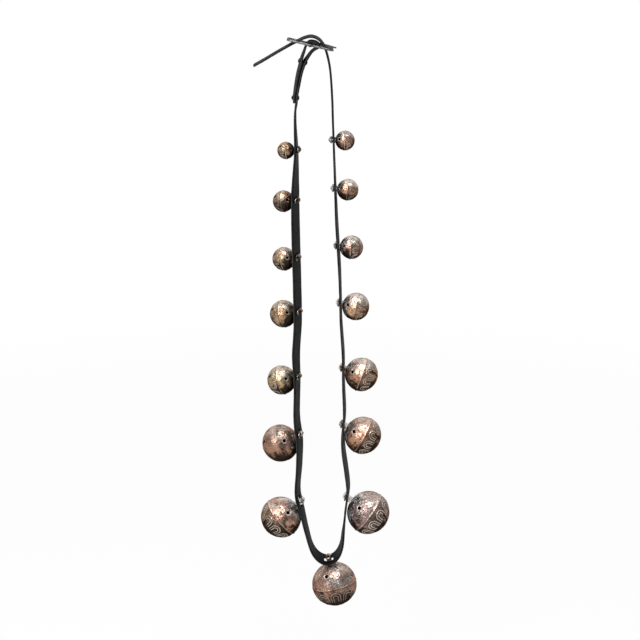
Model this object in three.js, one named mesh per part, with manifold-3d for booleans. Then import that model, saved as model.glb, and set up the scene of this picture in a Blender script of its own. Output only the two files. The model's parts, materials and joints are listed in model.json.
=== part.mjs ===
// A sleigh bell strap: one leather body strap, buckled into a loop and hung by its buckle,
// with fifteen graduated cast bells, each pinned through a slot so that it rocks on the strap.
// Millimetres, +Z up, X across the loop, Y along the strap's width.
// The origin is the hanging point: the underside of the buckle's centre bar.

import * as THREE from "three";
import { mergeVertices } from "three/addons/utils/BufferGeometryUtils.js";
import Module from "manifold-3d";

const wasm = await Module();
wasm.setup();

// Fits
const CLEARANCE = 0.35; // running gap between pieces that touch or turn on each other
const SLOT_EASE = 0.4; // extra room on each side of a punched slot or hole

// Strap
const STRAP_WIDTH = 31.8;
const STRAP_THICKNESS = 3;
const LEG_TOP = 100; // drop from the hanging point to where both legs hang free
const LEG_LENGTH = 630; // free leg, down to the bottom bend
const BEND_DEPTH = 42; // the bottom bend, below the legs
const LEFT_LEG_X = -20;
const RIGHT_LEG_TOP_X = 31;
const RIGHT_LEG_LOW_X = 49;
const LONGEST_STEP = 34; // longest straight facet of the strap
const SHARPEST_STEP = 12; // degrees of bend and twist that one facet takes up
const FACET_SAG = 0.14; // furthest that a facet may stray from the strap's curve
const OVERCUT = 1; // how far a cutter runs past the surface it opens

// Buckle
const BAR_RADIUS = 1.9; // centre bar
const FOLD_SLACK = 0.3; // extra room between the centre bar and the leather round it
const FRAME_LENGTH = 65;
const FRAME_BAR = 4.2; // width of the frame's own bars
const FRAME_DEPTH = 4;
const FRAME_CORNER = 7;
const FRAME_CHAMFER = 0.8;
const FRAME_SIDE_GAP = 1.2; // from a strap edge to the frame
const FRAME_SLOPE = 13; // degrees, falling to the right
const TONGUE_WIDTH = 4.4;
const TONGUE_DEPTH = 2.6;
const TONGUE_EYE_WALL = 1.6;
const TONGUE_OVERHANG = 2.6; // past the end bar it rests on
const TONGUE_LIFT = 4; // degrees
const FOLD_SLOT_FROM = [-7.5, -4]; // the slot for the tongue, over the top of the fold
const FOLD_SLOT_TO = [10, -2.3];
const FRAME_ROCK = 3; // degrees each way

// Rivets that close the fold round the buckle
const UPPER_RIVET_Z = -20.5;
const LOWER_RIVET_Z = -70;
const RIVET_RADIUS = 1.6;
const RIVET_HEAD_RADIUS = 3.4;
const RIVET_HEAD_RISE = 1.7;
const BURR_RADIUS = 3.4;
const BURR_THICKNESS = 0.8;
const PEEN_RADIUS = 2.4;
const PEEN_RISE = 0.6;
const RIVET_SIDES = 8;

// Bells, cast in sizes an eighth of an inch apart
const SIZES = [1, 3, 4, 6, 7, 11, 13, 15, 14, 11, 9, 6, 4, 3, 2]; // along the strap, from the fold
const CENTRE_BELL = 7; // place in that list of the bell at the bottom of the loop
const BELL_DIAMETER = graded(25.4, 3.175); // across the seam
const BELL_HEIGHT = graded(24.2, 3.0); // pole to pole
const BELL_WALL = graded(2.1, 0.08);
const SEAM_RISE = 0.8;
const SEAM_HALF_WIDTH = 1.1;
const SOUND_HOLE_RADIUS = graded(1.4, 0.06);
const SOUND_HOLE_TILT = 49; // degrees from the shank
const SOUND_HOLE_TURN = 16; // degrees up from the strap's width
const THROAT_WIDTH = graded(2.0, 0.09);
const THROAT_HOLE_RADIUS = graded(1.5, 0.07);
const THROAT_REACH = 60; // degrees from the bottom pole to each end of the throat
const THROAT_TURN = 45; // degrees round from the strap's width
const DOUBLE_THROAT_FROM = 8; // bells of this size and over have two crossed throats
const BELL_GAP = 0.6; // from a bell to the strap where it comes to rest
const DROOP = graded(4, 1.9); // degrees that a bell swings each way from square to the strap
const CENTRE_SWING = 20; // degrees that the bottom bell, set closer, swings each way
const CENTRE_LEAN = 4; // degrees that the bottom bell leans to the right
const SHANK_WIDTH = graded(4.6, 0.2);
const EYE_WALL = 1.8;
const SHANK_ROOT = 1.5; // depth that the shank runs into the crown of the bell
const PELLET_DIAMETER = graded(6.5, 0.75);

// Where the bells sit: the bare strap above the top bells, and the uneven hand spacing
const BARE_LEFT = 54; // from the end of the fold to the first bell
const BARE_RIGHT = 28; // from the top of the right leg to the last bell
const CENTRE_PLACE = 27; // sideways place of the bottom bell
const HAND_SHIFT = [-2.5, -6.5, -4, -8.5, 1.5, -5, -3, 0, 0.5, 10, -1.5, 5, 5.5, 8.5, 0.5];

// Degrees that each bell and its pin tip towards the front in the loose slot
const TIP = [0, 0, 0, 0, 0, 0, 13, 13, 0, 0, 0, 0, 0, 0, 0];

// Split pins
const PIN_RADIUS = 1.3;
const PIN_RING_RADIUS = 3.4;
const PIN_RING_WIRE = 1;
const PIN_TIP = 5;
const PIN_TIP_RADIUS = 0.85;
const PIN_TIP_SPREAD = 70; // degrees between each tip and the pin
const PIN_SHOW = 2.2; // length of pin between the eye and the spread tips

const LEATHER = finish("#24221f", 0.62, 0);
const BRONZE = finish("#8a5a3c", 0.42, 0.9);
const IRON = finish("#4a4540", 0.7, 0.8);
const PIN_STEEL = finish("#8d8a80", 0.4, 0.9);
const BUCKLE_STEEL = finish("#6d6f72", 0.35, 0.95);
const COPPER = finish("#7a4e36", 0.45, 0.9);

const DOWN = new THREE.Vector3(0, 0, -1);
const part = new THREE.Group();

// A size that grows by one step from each bell size to the next.
function graded(first, step) {
  return (size) => first + step * (size - 1);
}

function finish(color, roughness, metalness) {
  return new THREE.MeshStandardMaterial({ color, roughness, metalness });
}

function radians(degrees) {
  return THREE.MathUtils.degToRad(degrees);
}

function name(stem, index) {
  return `${stem}_${String(index + 1).padStart(2, "0")}`;
}

// Booleans: closed geometry in and out of solids
function solid(geometry) {
  const bare = geometry.clone();
  bare.deleteAttribute("normal");
  bare.deleteAttribute("uv");
  const merged = mergeVertices(bare, 1e-4);
  const vertProperties = merged.attributes.position.array;
  const triVerts = new Uint32Array(merged.index.array);
  return new wasm.Manifold(new wasm.Mesh({ numProp: 3, vertProperties, triVerts }));
}

function geometryOf(body) {
  const { vertProperties, triVerts } = body.getMesh();
  const geometry = new THREE.BufferGeometry();
  geometry.setAttribute("position", new THREE.BufferAttribute(vertProperties, 3));
  geometry.setIndex(new THREE.BufferAttribute(triVerts, 1));
  geometry.computeVertexNormals();
  return geometry;
}

function piece(parent, label, geometry, material) {
  const mesh = new THREE.Mesh(geometry, material);
  mesh.name = label;
  parent.add(mesh);
  return mesh;
}

// A cylinder from one point to another.
function rod(radius, from, to, sides) {
  const along = to.clone().sub(from);
  const geometry = new THREE.CylinderGeometry(radius, radius, along.length(), sides);
  const turn = new THREE.Quaternion().setFromUnitVectors(
    new THREE.Vector3(0, 1, 0),
    along.clone().normalize(),
  );
  geometry.applyQuaternion(turn);
  const middle = from.clone().add(to).multiplyScalar(0.5);
  return geometry.translate(middle.x, middle.y, middle.z);
}

// The strap's route. Each point is [sideways, up, turn]: turn is in degrees, and turns the
// inner face of the strap towards the front.
const barCentre = new THREE.Vector2(0, BAR_RADIUS);
const foldRadius = BAR_RADIUS + CLEARANCE + FOLD_SLACK + STRAP_THICKNESS / 2;
const foldTop = barCentre.y + foldRadius;
const legBottom = -(LEG_TOP + LEG_LENGTH);
const bendBottom = legBottom - BEND_DEPTH;

// A leg's slight sway: [share of the leg, sideways, turn].
const LEFT_SWAY = [
  [0.01, -1.2, 1],
  [0.07, 0, 5],
  [0.16, -1.6, 16],
  [0.25, -1.3, 17.5],
  [0.37, 0.3, 17.5],
  [0.47, 0.9, 17.5],
  [0.54, -1.7, 17],
  [0.61, -0.4, 13],
  [0.7, -1.1, 12.5],
  [0.76, 2.8, 14],
  [0.82, 2, 13],
  [0.89, -0.3, 11],
  [0.94, 6.6, 7],
  [0.99, 13.4, 4],
];
const RIGHT_SWAY = [
  [0.98, 1, -1],
  [0.93, 4.6, -5],
  [0.88, 9, -7],
  [0.83, 6.8, -7],
  [0.78, 3.4, -7],
  [0.74, 3, -6],
  [0.69, 6.1, -5],
  [0.61, 5.8, -4],
  [0.54, 6.4, -4],
  [0.46, 4.4, -3],
  [0.39, 4.5, -3],
  [0.33, 4, -4],
  [0.23, 1.8, -4],
  [0.15, 1, -2],
  [0.09, 0.6, -1],
  [0, 0, 0],
];

// The fold round the centre bar, from its loose end up the outer layer and back down.
const FOLD = [
  [-22.7, -76, 2],
  [-22.3, -68.3, 2.5],
  [-21.3, -60.3, 3],
  [-19.8, -52.2, 4],
  [-18.4, -44.2, 4.4],
  [-16.7, -36.1, 4.4],
  [-14.6, -28.1, 4.4],
  [-12.7, -20, 4],
  [-11, -14, 3],
  [-8.4, -7, 1.5],
  [-6.2, -0.6, 0],
  [-0.8 * foldRadius, barCentre.y + 0.6 * foldRadius, 0],
  [0, foldTop, 0],
  [5, foldTop - 0.4, 0],
  [9.4, foldTop - 2, 0],
  [11.9, 0.9, 0],
  [10.6, -1.9, 0],
  [6.6, -3.8, 0],
  [2, -7.4, -1],
  [-1.3, -11.5, -2],
  [-4.2, -15.6, -3],
  [-7.3, -20.4, -4],
  [-10.2, -28.1, -4.4],
  [-12.8, -36.1, -4.4],
  [-14.6, -44.2, -4.4],
  [-16.1, -52.2, -4],
  [-17.6, -60.3, -3],
  [-18.7, -68.3, -2.5],
  [-19.2, -76.5, -1.5],
  [-20.3, -83, -1],
  [-21, -90, 0],
];

// The billet: up through one window of the buckle, over the fold, down through the other.
const BILLET = [
  [30.2, -76, 0],
  [28.8, -51, 0],
  [27, -31, 0],
  [24.6, -18, 0],
  [21.4, -6.4, 0],
  [17, 3.2, 0],
  [10.5, 9.8, 0],
  [1.8, 12.8, 0],
  [-7.8, 11, 0],
  [-18.7, 6, 0],
  [-29, 0.8, 0],
  [-39.2, -4.8, 0],
  [-52.8, -12.5, 0],
  [-64.6, -19.4, 0],
  [-77, -26.2, 0],
];

// The bottom bend: [share from the left leg to the right leg, share of its depth].
const BEND = [
  [0.14, 0.52],
  [0.27, 0.8],
  [0.43, 0.96],
  [0.59, 1],
  [0.74, 0.92],
  [0.87, 0.7],
  [0.95, 0.4],
  [0.985, 0.05],
];

function legPoint(topX, lowX) {
  return ([share, sideways, turn]) => [
    THREE.MathUtils.lerp(topX, lowX, share) + sideways,
    -(LEG_TOP + share * LEG_LENGTH),
    turn,
  ];
}

function bendPoint([across, down]) {
  const left = LEFT_LEG_X + LEFT_SWAY.at(-1)[1];
  return [
    THREE.MathUtils.lerp(left, RIGHT_LEG_LOW_X, across),
    THREE.MathUtils.lerp(legBottom, bendBottom, down),
    2,
  ];
}

const route = [
  ...FOLD,
  ...LEFT_SWAY.map(legPoint(LEFT_LEG_X, LEFT_LEG_X)),
  ...BEND.map(bendPoint),
  ...RIGHT_SWAY.map(legPoint(RIGHT_LEG_TOP_X, RIGHT_LEG_LOW_X)),
  ...BILLET,
];
const line = new THREE.CatmullRomCurve3(
  route.map(([x, z]) => new THREE.Vector3(x, 0, z)),
  false,
  "centripetal",
);
line.arcLengthDivisions = 4000;
const strapLength = line.getLength();

// The strap's own axes at a length along it: along, across (its width) and out of the loop.
function strapFrame(length) {
  const share = THREE.MathUtils.clamp(length / strapLength, 0, 1);
  const place = line.getUtoTmapping(share) * (route.length - 1);
  const before = Math.min(Math.floor(place), route.length - 2);
  const turn = THREE.MathUtils.lerp(route[before][2], route[before + 1][2], place - before);
  const along = line.getTangentAt(share);
  const across = new THREE.Vector3(0, 1, 0).applyAxisAngle(along, radians(turn));
  const out = across.clone().cross(along);
  return { point: line.getPointAt(share), along, across, out, turn };
}

// Lengths at which the strap's facets start, closer together where it bends or twists.
function facetLengths(from, to) {
  const lengths = [from];
  let last = strapFrame(from);
  let lastLength = from;
  for (let length = from + 1; length < to - 1; length += 1) {
    const here = strapFrame(length);
    const bend = THREE.MathUtils.radToDeg(here.along.angleTo(last.along));
    const twist = Math.abs(here.turn - last.turn);
    const run = length - lastLength;
    const sag = (run * radians(bend)) / 8;
    if (bend + twist > SHARPEST_STEP || sag > FACET_SAG || run > LONGEST_STEP) {
      lengths.push(length);
      last = here;
      lastLength = length;
    }
  }
  lengths.push(to);
  return lengths;
}

// A bar of rectangular section bent along the strap's route.
function bentBar(lengths, width, thickness) {
  const steps = lengths.length - 1;
  const geometry = new THREE.BoxGeometry(width, thickness, steps, 1, 1, steps);
  const position = geometry.attributes.position;
  for (let i = 0; i < position.count; i += 1) {
    const { point, across, out } = strapFrame(lengths[Math.round(position.getZ(i) + steps / 2)]);
    point.addScaledVector(across, position.getX(i));
    point.addScaledVector(out, -position.getY(i));
    position.setXYZ(i, point.x, point.y, point.z);
  }
  return geometry;
}

// The length along the strap of the point nearest to a place, searched between two lengths.
function lengthNear(x, z, from, to) {
  let best = from;
  let nearest = Infinity;
  for (let length = from; length <= to; length += 0.25) {
    const { point } = strapFrame(length);
    const gap = Math.hypot(point.x - x, point.z - z);
    if (gap < nearest) {
      nearest = gap;
      best = length;
    }
  }
  return best;
}

// Sizes of one bell that follow from its size number.
function bellForm(size, swing) {
  const radius = BELL_DIAMETER(size) / 2;
  const crown = BELL_HEIGHT(size) / 2;
  const body = radius - SEAM_RISE;
  const cavity = Math.min(crown, body) - BELL_WALL(size);
  return { size, radius, crown, body, cavity, swing };
}

// Axes of a bell's seat: the strap's own, tipped towards the front.
function seatFrame(length, tip) {
  const seat = strapFrame(length);
  seat.across.applyAxisAngle(seat.along, -radians(tip));
  seat.out.applyAxisAngle(seat.along, -radians(tip));
  return { ...seat, length };
}

// A line along one face of the strap about a seat, as [out, along, across] points on its axes.
function faceAbout(seat, span, offset, sideways) {
  const points = [];
  for (let step = -span; step <= span; step += 1) {
    const { point, across, out } = strapFrame(seat.length + step);
    point.addScaledVector(out, offset).addScaledVector(across, sideways).sub(seat.point);
    points.push([point.dot(seat.out), point.dot(seat.along), point.dot(seat.across)]);
  }
  return points;
}

// Depth of a pin's centre behind the strap's centre line: it lies on the inner face, and where
// that face is hollow or twisted the ends of the pin keep it off.
function pinDepth(seat, size) {
  const half = SHANK_WIDTH(size) / 2;
  const ring = PIN_RING_RADIUS + PIN_RING_WIRE;
  const front = half + CLEARANCE + 2 * ring;
  const back = half + PIN_SHOW + PIN_TIP * Math.cos(radians(PIN_TIP_SPREAD));
  const rises = [-front, 0, back].flatMap((sideways) =>
    faceAbout(seat, ring, -STRAP_THICKNESS / 2, sideways).map(([out]) => -out),
  );
  return Math.max(...rises) + FACET_SAG + CLEARANCE + PIN_RADIUS;
}

// Length of shank, from the pin to the bell's centre, that lets the bell just touch the strap at
// both ends of its swing, and no less than a flat strap needs.
function bellReach(form, seat, depth) {
  const bent = [-1, -0.5, 0, 0.5, 1].flatMap((share) =>
    faceAbout(seat, form.radius, STRAP_THICKNESS / 2, (share * STRAP_WIDTH) / 2),
  );
  const face = [...bent, ...bent.map(([, along]) => [STRAP_THICKNESS / 2, along, 0])];
  const tilt = radians(form.swing);
  const clear = (reach, side) =>
    face.every(([out, along, across]) => {
      const axial = (out + depth) * Math.cos(tilt) + side * along * Math.sin(tilt) - reach;
      const radial = (out + depth) * Math.sin(tilt) - side * along * Math.cos(tilt);
      const round = Math.hypot(radial, across) / (form.radius + BELL_GAP);
      return Math.hypot(axial / (form.crown + BELL_GAP), round) > 1;
    });
  let reach = form.crown + depth;
  while (!clear(reach, 1) || !clear(reach, -1)) {
    reach += 0.05;
  }
  return reach;
}

const EYE_SIDES = 6;
const eyeHole = (PIN_RADIUS + CLEARANCE) / Math.cos(Math.PI / EYE_SIDES);
const eyeRadius = eyeHole + EYE_WALL;

// Shell of a bell about its own centre, axis along X, shank side at -X.
function shellProfile(form) {
  const band = THREE.MathUtils.radToDeg(Math.atan(SEAM_HALF_WIDTH / form.body));
  const upper = [0, 30, 58, 90 - band];
  const round = (degrees) =>
    new THREE.Vector2(
      form.body * Math.sin(radians(degrees)),
      -form.crown * Math.cos(radians(degrees)),
    );
  const seam = new THREE.Vector2(form.radius, 0);
  const lower = upper.map((degrees) => 180 - degrees).reverse();
  const points = [...upper.map(round), seam, ...lower.map(round)];
  points[0].x = 0;
  points.at(-1).x = 0;
  return points;
}

function bellShell(form) {
  const sides = form.size < DOUBLE_THROAT_FROM ? 10 : 12;
  const outside = new THREE.LatheGeometry(shellProfile(form), sides).rotateZ(-Math.PI / 2);
  return solid(outside);
}

// Plane of the facet of a hollow that lies nearest to the origin.
function nearestFacet(hollow) {
  const corners = hollow.attributes.position;
  const face = new THREE.Triangle();
  const plane = new THREE.Plane();
  const nearest = new THREE.Plane(undefined, Infinity);
  for (let i = 0; i < corners.count; i += 3) {
    face.setFromAttributeAndIndices(corners, i, i + 1, i + 2).getPlane(plane);
    if (Math.abs(plane.constant) < Math.abs(nearest.constant)) {
      nearest.copy(plane);
    }
  }
  return nearest;
}

// Hollow of a bell about its centre, turned so that its nearest facet lies under the pellet.
function bellCavity(form) {
  const hollow = new THREE.IcosahedronGeometry(form.cavity, 1);
  const { normal } = nearestFacet(hollow);
  return hollow.applyQuaternion(new THREE.Quaternion().setFromUnitVectors(normal, form.down));
}

// Directions round a bell: degrees from the +X pole, and degrees round the axis from +Y.
function bellDirection(fromPole, round) {
  const out = Math.sin(radians(fromPole));
  return new THREE.Vector3(
    Math.cos(radians(fromPole)),
    out * Math.cos(radians(round)),
    out * Math.sin(radians(round)),
  );
}

function radialHole(form, radius, fromPole, round, sides) {
  const way = bellDirection(fromPole, round);
  const from = way.clone().multiplyScalar(form.cavity - 2 * BELL_WALL(form.size));
  return solid(rod(radius, from, way.multiplyScalar(form.radius + OVERCUT), sides));
}

// One throat: a slit across the bottom of the bell with a round hole at each end.
function throat(form, round) {
  const start = form.crown * Math.cos(radians(THROAT_REACH));
  const half = form.body * Math.sin(radians(THROAT_REACH));
  const depth = form.crown + OVERCUT - start;
  const slit = new THREE.BoxGeometry(depth, 2 * half, THROAT_WIDTH(form.size));
  slit.translate(start + depth / 2, 0, 0).rotateX(radians(round));
  let cut = solid(slit);
  for (const end of [0, 180]) {
    const hole = radialHole(form, THROAT_HOLE_RADIUS(form.size), THROAT_REACH, round + end, 5);
    cut = cut.add(hole);
  }
  return cut;
}

// The shank: a cast lug with an eye for the pin, about the pin's centre, running out along +X.
function shank(form) {
  const root = form.reach - form.crown + SHANK_ROOT;
  const outline = new THREE.Shape();
  outline.moveTo(0, eyeRadius);
  outline.absarc(0, 0, eyeRadius, Math.PI / 2, (3 * Math.PI) / 2, false);
  outline.lineTo(root, -eyeRadius);
  outline.lineTo(root, eyeRadius);
  const eye = new THREE.Path();
  eye.absarc(0, 0, eyeHole, 0, 2 * Math.PI, true);
  outline.holes.push(eye);
  const width = SHANK_WIDTH(form.size);
  const lug = new THREE.ExtrudeGeometry(outline, {
    depth: width,
    bevelEnabled: false,
    curveSegments: EYE_SIDES / 2,
  });
  return solid(lug.translate(0, 0, -width / 2).rotateX(Math.PI / 2));
}

// A whole bell about its pin: shell, seam, shank, throats and sound holes in one casting.
// Up is 1 or -1: which way round the bell's axis is up on its side of the strap.
function bell(form, up) {
  const away = [form.reach, 0, 0];
  const body = bellShell(form).translate(away).add(shank(form));
  let cuts = solid(bellCavity(form));
  cuts = cuts.add(throat(form, THROAT_TURN));
  if (form.size >= DOUBLE_THROAT_FROM) {
    cuts = cuts.add(throat(form, THROAT_TURN + 90));
  }
  for (const side of [180, 0]) {
    const round = side - up * SOUND_HOLE_TURN;
    cuts = cuts.add(
      radialHole(form, SOUND_HOLE_RADIUS(form.size), 180 - SOUND_HOLE_TILT, round, 6),
    );
  }
  return geometryOf(body.subtract(cuts.translate(away)));
}

// A split pin along Y: ring head in front, two tips spread apart behind.
function splitPin(form) {
  const half = SHANK_WIDTH(form.size) / 2;
  const front = -(half + CLEARANCE + PIN_RING_WIRE);
  const back = half + PIN_SHOW;
  const ringCentre = front - PIN_RING_RADIUS;
  const ring = new THREE.TorusGeometry(PIN_RING_RADIUS, PIN_RING_WIRE, 3, 8);
  ring.rotateY(Math.PI / 2).translate(0, ringCentre, 0);
  const start = new THREE.Vector3(0, front - PIN_RING_WIRE / 2, 0);
  const end = new THREE.Vector3(0, back, 0);
  let body = solid(ring).add(solid(rod(PIN_RADIUS, start, end, 5)));
  for (const side of [-1, 1]) {
    const spread = radians(PIN_TIP_SPREAD);
    const root = new THREE.Vector3(0, back - PIN_TIP_RADIUS, 0);
    const tip = root.clone();
    tip.y += PIN_TIP * Math.cos(spread);
    tip.z += side * PIN_TIP * Math.sin(spread);
    body = body.add(solid(rod(PIN_TIP_RADIUS, root, tip, 3)));
  }
  return geometryOf(body);
}

// Places of the bells along the strap
const foldEnd = lengthNear(FOLD.at(-1)[0], FOLD.at(-1)[1], strapLength * 0.05, strapLength * 0.2);
const rightTop = lengthNear(RIGHT_LEG_TOP_X, -LEG_TOP, strapLength * 0.7, strapLength);
const centreLength = lengthNear(CENTRE_PLACE, bendBottom, strapLength * 0.3, strapLength * 0.7);

// Half of each of two neighbouring bells
function neighbourSpan(index) {
  return (BELL_DIAMETER(SIZES[index]) + BELL_DIAMETER(SIZES[index + 1])) / 2;
}

// Shares a stretch of strap among its bells with an even gap, then adds the hand shifts.
function spacedLengths() {
  const lengths = SIZES.map(() => centreLength);
  const leftTop = foldEnd + BARE_LEFT;
  const last = SIZES.length - 1;
  const spans = SIZES.slice(0, last).map((_, index) => neighbourSpan(index));
  const sum = (list) => list.reduce((total, span) => total + span, 0);
  const leftGap = (centreLength - leftTop - sum(spans.slice(0, CENTRE_BELL))) / CENTRE_BELL;
  const rightBells = last - CENTRE_BELL;
  const rightRun = rightTop - BARE_RIGHT - centreLength;
  const rightGap = (rightRun - sum(spans.slice(CENTRE_BELL))) / rightBells;
  for (let index = CENTRE_BELL - 1; index >= 0; index -= 1) {
    lengths[index] = lengths[index + 1] - spans[index] - leftGap;
  }
  for (let index = CENTRE_BELL + 1; index <= last; index += 1) {
    lengths[index] = lengths[index - 1] + spans[index - 1] + rightGap;
  }
  return lengths.map((length, index) => length + HAND_SHIFT[index]);
}

// Strap: bent to its route, then slotted for the shanks, rivets, buckle tongue and its hole.
let leather = solid(bentBar(facetLengths(0, strapLength), STRAP_WIDTH, STRAP_THICKNESS));
const through = STRAP_THICKNESS + 2 * OVERCUT;

function cutStrap(from, to, width) {
  leather = leather.subtract(solid(bentBar(facetLengths(from, to), width, through)));
}

// Bells with their pins and pellets, and a slot in the strap for each shank
const bellLengths = spacedLengths();
SIZES.forEach((size, index) => {
  const centre = index === CENTRE_BELL;
  const form = bellForm(size, centre ? CENTRE_SWING : DROOP(size));
  const seated = seatFrame(bellLengths[index], TIP[index]);
  const { point, along, across, out } = seated;
  const depth = pinDepth(seated, size);
  form.reach = bellReach(form, seated, depth);
  const pivot = point.clone().addScaledVector(out, -depth);
  const side = index <= CENTRE_BELL ? 1 : -1;
  const lean = radians(side * (centre ? CENTRE_LEAN : form.swing));
  const axis = out.clone().multiplyScalar(Math.cos(lean));
  axis.addScaledVector(along, Math.sin(lean));

  const seat = new THREE.Group();
  const square = new THREE.Matrix4().makeBasis(out, across, out.clone().cross(across));
  seat.applyMatrix4(square.setPosition(pivot));
  part.add(seat);
  piece(seat, name("pin", index), splitPin(form), PIN_STEEL);

  const hung = new THREE.Group();
  const hang = new THREE.Matrix4().makeBasis(axis, across, axis.clone().cross(across));
  form.down = DOWN.clone().transformDirection(hang.clone().invert());
  hung.applyMatrix4(hang.setPosition(pivot));
  part.add(hung);
  const casting = piece(hung, name("bell", index), bell(form, -side), BRONZE);
  const rest = centre ? CENTRE_LEAN : form.swing;
  casting.userData = { range: [rest - form.swing, rest + form.swing], sign: side };

  const middle = new THREE.Group();
  middle.position.copy(pivot).addScaledVector(axis, form.reach);
  part.add(middle);
  const pelletRadius = PELLET_DIAMETER(size) / 2;
  const shot = new THREE.IcosahedronGeometry(pelletRadius);
  const corner = new THREE.Vector3().fromBufferAttribute(shot.attributes.position, 0).normalize();
  shot.applyQuaternion(new THREE.Quaternion().setFromUnitVectors(corner, DOWN));
  const pellet = piece(middle, name("pellet", index), shot, IRON);
  pellet.position.z = pelletRadius + CLEARANCE + nearestFacet(bellCavity(form)).constant;

  const swing = radians(form.swing);
  const tip = radians(TIP[index]);
  const outside = depth + STRAP_THICKNESS / 2;
  const width = SHANK_WIDTH(size) + 2 * (CLEARANCE + SLOT_EASE + outside * Math.tan(tip));
  const drift = (outside + (width / 2) * Math.sin(tip)) * Math.tan(swing);
  const half = eyeRadius / Math.cos(swing) + drift + SLOT_EASE;
  cutStrap(bellLengths[index] - half, bellLengths[index] + half, width);
});

// Buckle frame: a chamfered oblong with a round centre bar
const buckle = new THREE.Group();
buckle.position.set(barCentre.x, 0, barCentre.y);
buckle.rotation.y = radians(FRAME_SLOPE);
part.add(buckle);

const frameWidth = STRAP_WIDTH + 2 * (FRAME_SIDE_GAP + FRAME_BAR);

function roundedOblong(target, length, width, corner) {
  const x = length / 2 - corner;
  const y = width / 2 - corner;
  target.moveTo(-x, -y - corner);
  target.absarc(x, -y, corner, -Math.PI / 2, 0, false);
  target.absarc(x, y, corner, 0, Math.PI / 2, false);
  target.absarc(-x, y, corner, Math.PI / 2, Math.PI, false);
  target.absarc(-x, -y, corner, Math.PI, 1.5 * Math.PI, false);
  return target;
}

function buckleFrame() {
  const trim = 2 * FRAME_CHAMFER;
  const outline = roundedOblong(
    new THREE.Shape(),
    FRAME_LENGTH - trim,
    frameWidth - trim,
    FRAME_CORNER - FRAME_CHAMFER,
  );
  const inside = FRAME_CORNER - FRAME_BAR + FRAME_CHAMFER;
  const window = roundedOblong(
    new THREE.Path(),
    FRAME_LENGTH - 2 * FRAME_BAR + trim,
    frameWidth - 2 * FRAME_BAR + trim,
    inside,
  );
  outline.holes.push(window);
  const oblong = new THREE.ExtrudeGeometry(outline, {
    depth: FRAME_DEPTH - trim,
    bevelThickness: FRAME_CHAMFER,
    bevelSize: FRAME_CHAMFER,
    bevelSegments: 1,
    curveSegments: 1,
  });
  oblong.translate(0, 0, FRAME_CHAMFER - FRAME_DEPTH / 2);
  const reach = frameWidth / 2 - FRAME_BAR / 2;
  const bar = rod(BAR_RADIUS, new THREE.Vector3(0, -reach, 0), new THREE.Vector3(0, reach, 0), 12);
  return geometryOf(solid(oblong).add(solid(bar)));
}
piece(buckle, "buckle_frame", buckleFrame(), BUCKLE_STEEL);

// Tongue: an eye that turns on the centre bar and a tapered arm that rests on the end bar.
const tongueUnder = BAR_RADIUS + CLEARANCE;
const endBar = FRAME_LENGTH / 2 - FRAME_BAR / 2;

function buckleTongue() {
  const eyeOuter = tongueUnder + TONGUE_EYE_WALL;
  const top = FRAME_DEPTH / 2 + CLEARANCE + TONGUE_DEPTH;
  const tip = endBar + FRAME_BAR / 2 + TONGUE_OVERHANG;
  const side = new THREE.Shape();
  side.moveTo(tip, top - TONGUE_DEPTH);
  side.lineTo(tip + TONGUE_DEPTH / 3, top - TONGUE_DEPTH / 2);
  side.lineTo(tip, top - TONGUE_DEPTH / 4);
  side.lineTo(tip - 4 * TONGUE_DEPTH, top);
  side.lineTo(0, top);
  side.absarc(0, 0, top, Math.PI / 2, Math.PI * 0.75, false);
  side.absarc(0, 0, eyeOuter, Math.PI * 0.75, Math.PI * 2, false);
  side.lineTo(eyeOuter, top - TONGUE_DEPTH);
  const eye = new THREE.Path();
  eye.absarc(0, 0, tongueUnder, 0, 2 * Math.PI, true);
  side.holes.push(eye);
  const arm = new THREE.ExtrudeGeometry(side, {
    depth: TONGUE_WIDTH,
    bevelEnabled: false,
    curveSegments: 5,
  });
  return arm.rotateX(Math.PI / 2).translate(0, TONGUE_WIDTH / 2, 0);
}
piece(buckle, "buckle_tongue", buckleTongue(), BUCKLE_STEEL);

// The fold is slotted for the tongue's eye, and the billet is punched where the tongue crosses it.
const tongueSlot = TONGUE_WIDTH + 2 * (CLEARANCE + SLOT_EASE);
const slotStart = lengthNear(...FOLD_SLOT_FROM, 0, foldEnd);
const slotEnd = lengthNear(...FOLD_SLOT_TO, 0, foldEnd);
cutStrap(slotStart, slotEnd, tongueSlot);

function tongueCrossing() {
  const slope = new THREE.Vector2(
    Math.cos(radians(FRAME_SLOPE)),
    -Math.sin(radians(FRAME_SLOPE)),
  );
  const middle = FRAME_DEPTH / 2 + CLEARANCE + TONGUE_DEPTH / 2;
  for (let length = rightTop; length < strapLength; length += 0.1) {
    const { point, along } = strapFrame(length);
    const x = point.x - barCentre.x;
    const z = point.z - barCentre.y;
    if (z * slope.x - x * slope.y > middle) {
      const reach = x * slope.x + z * slope.y;
      const angle = Math.acos(Math.abs(along.x * slope.x + along.z * slope.y));
      return { length, reach, angle };
    }
  }
  throw new Error("the billet never crosses the tongue");
}
const crossing = tongueCrossing();
const play = (crossing.reach * radians(TONGUE_LIFT + FRAME_ROCK)) / Math.sin(crossing.angle);
const drop = (crossing.reach * radians(FRAME_ROCK)) / Math.sin(crossing.angle);
const slant = TONGUE_DEPTH / Math.sin(crossing.angle) + STRAP_THICKNESS / Math.tan(crossing.angle);
const holeBack = slant / 2 + drop + SLOT_EASE + CLEARANCE;
const holeAhead = slant / 2 + play + SLOT_EASE + CLEARANCE;
cutStrap(crossing.length - holeBack, crossing.length + holeAhead, tongueSlot);

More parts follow.
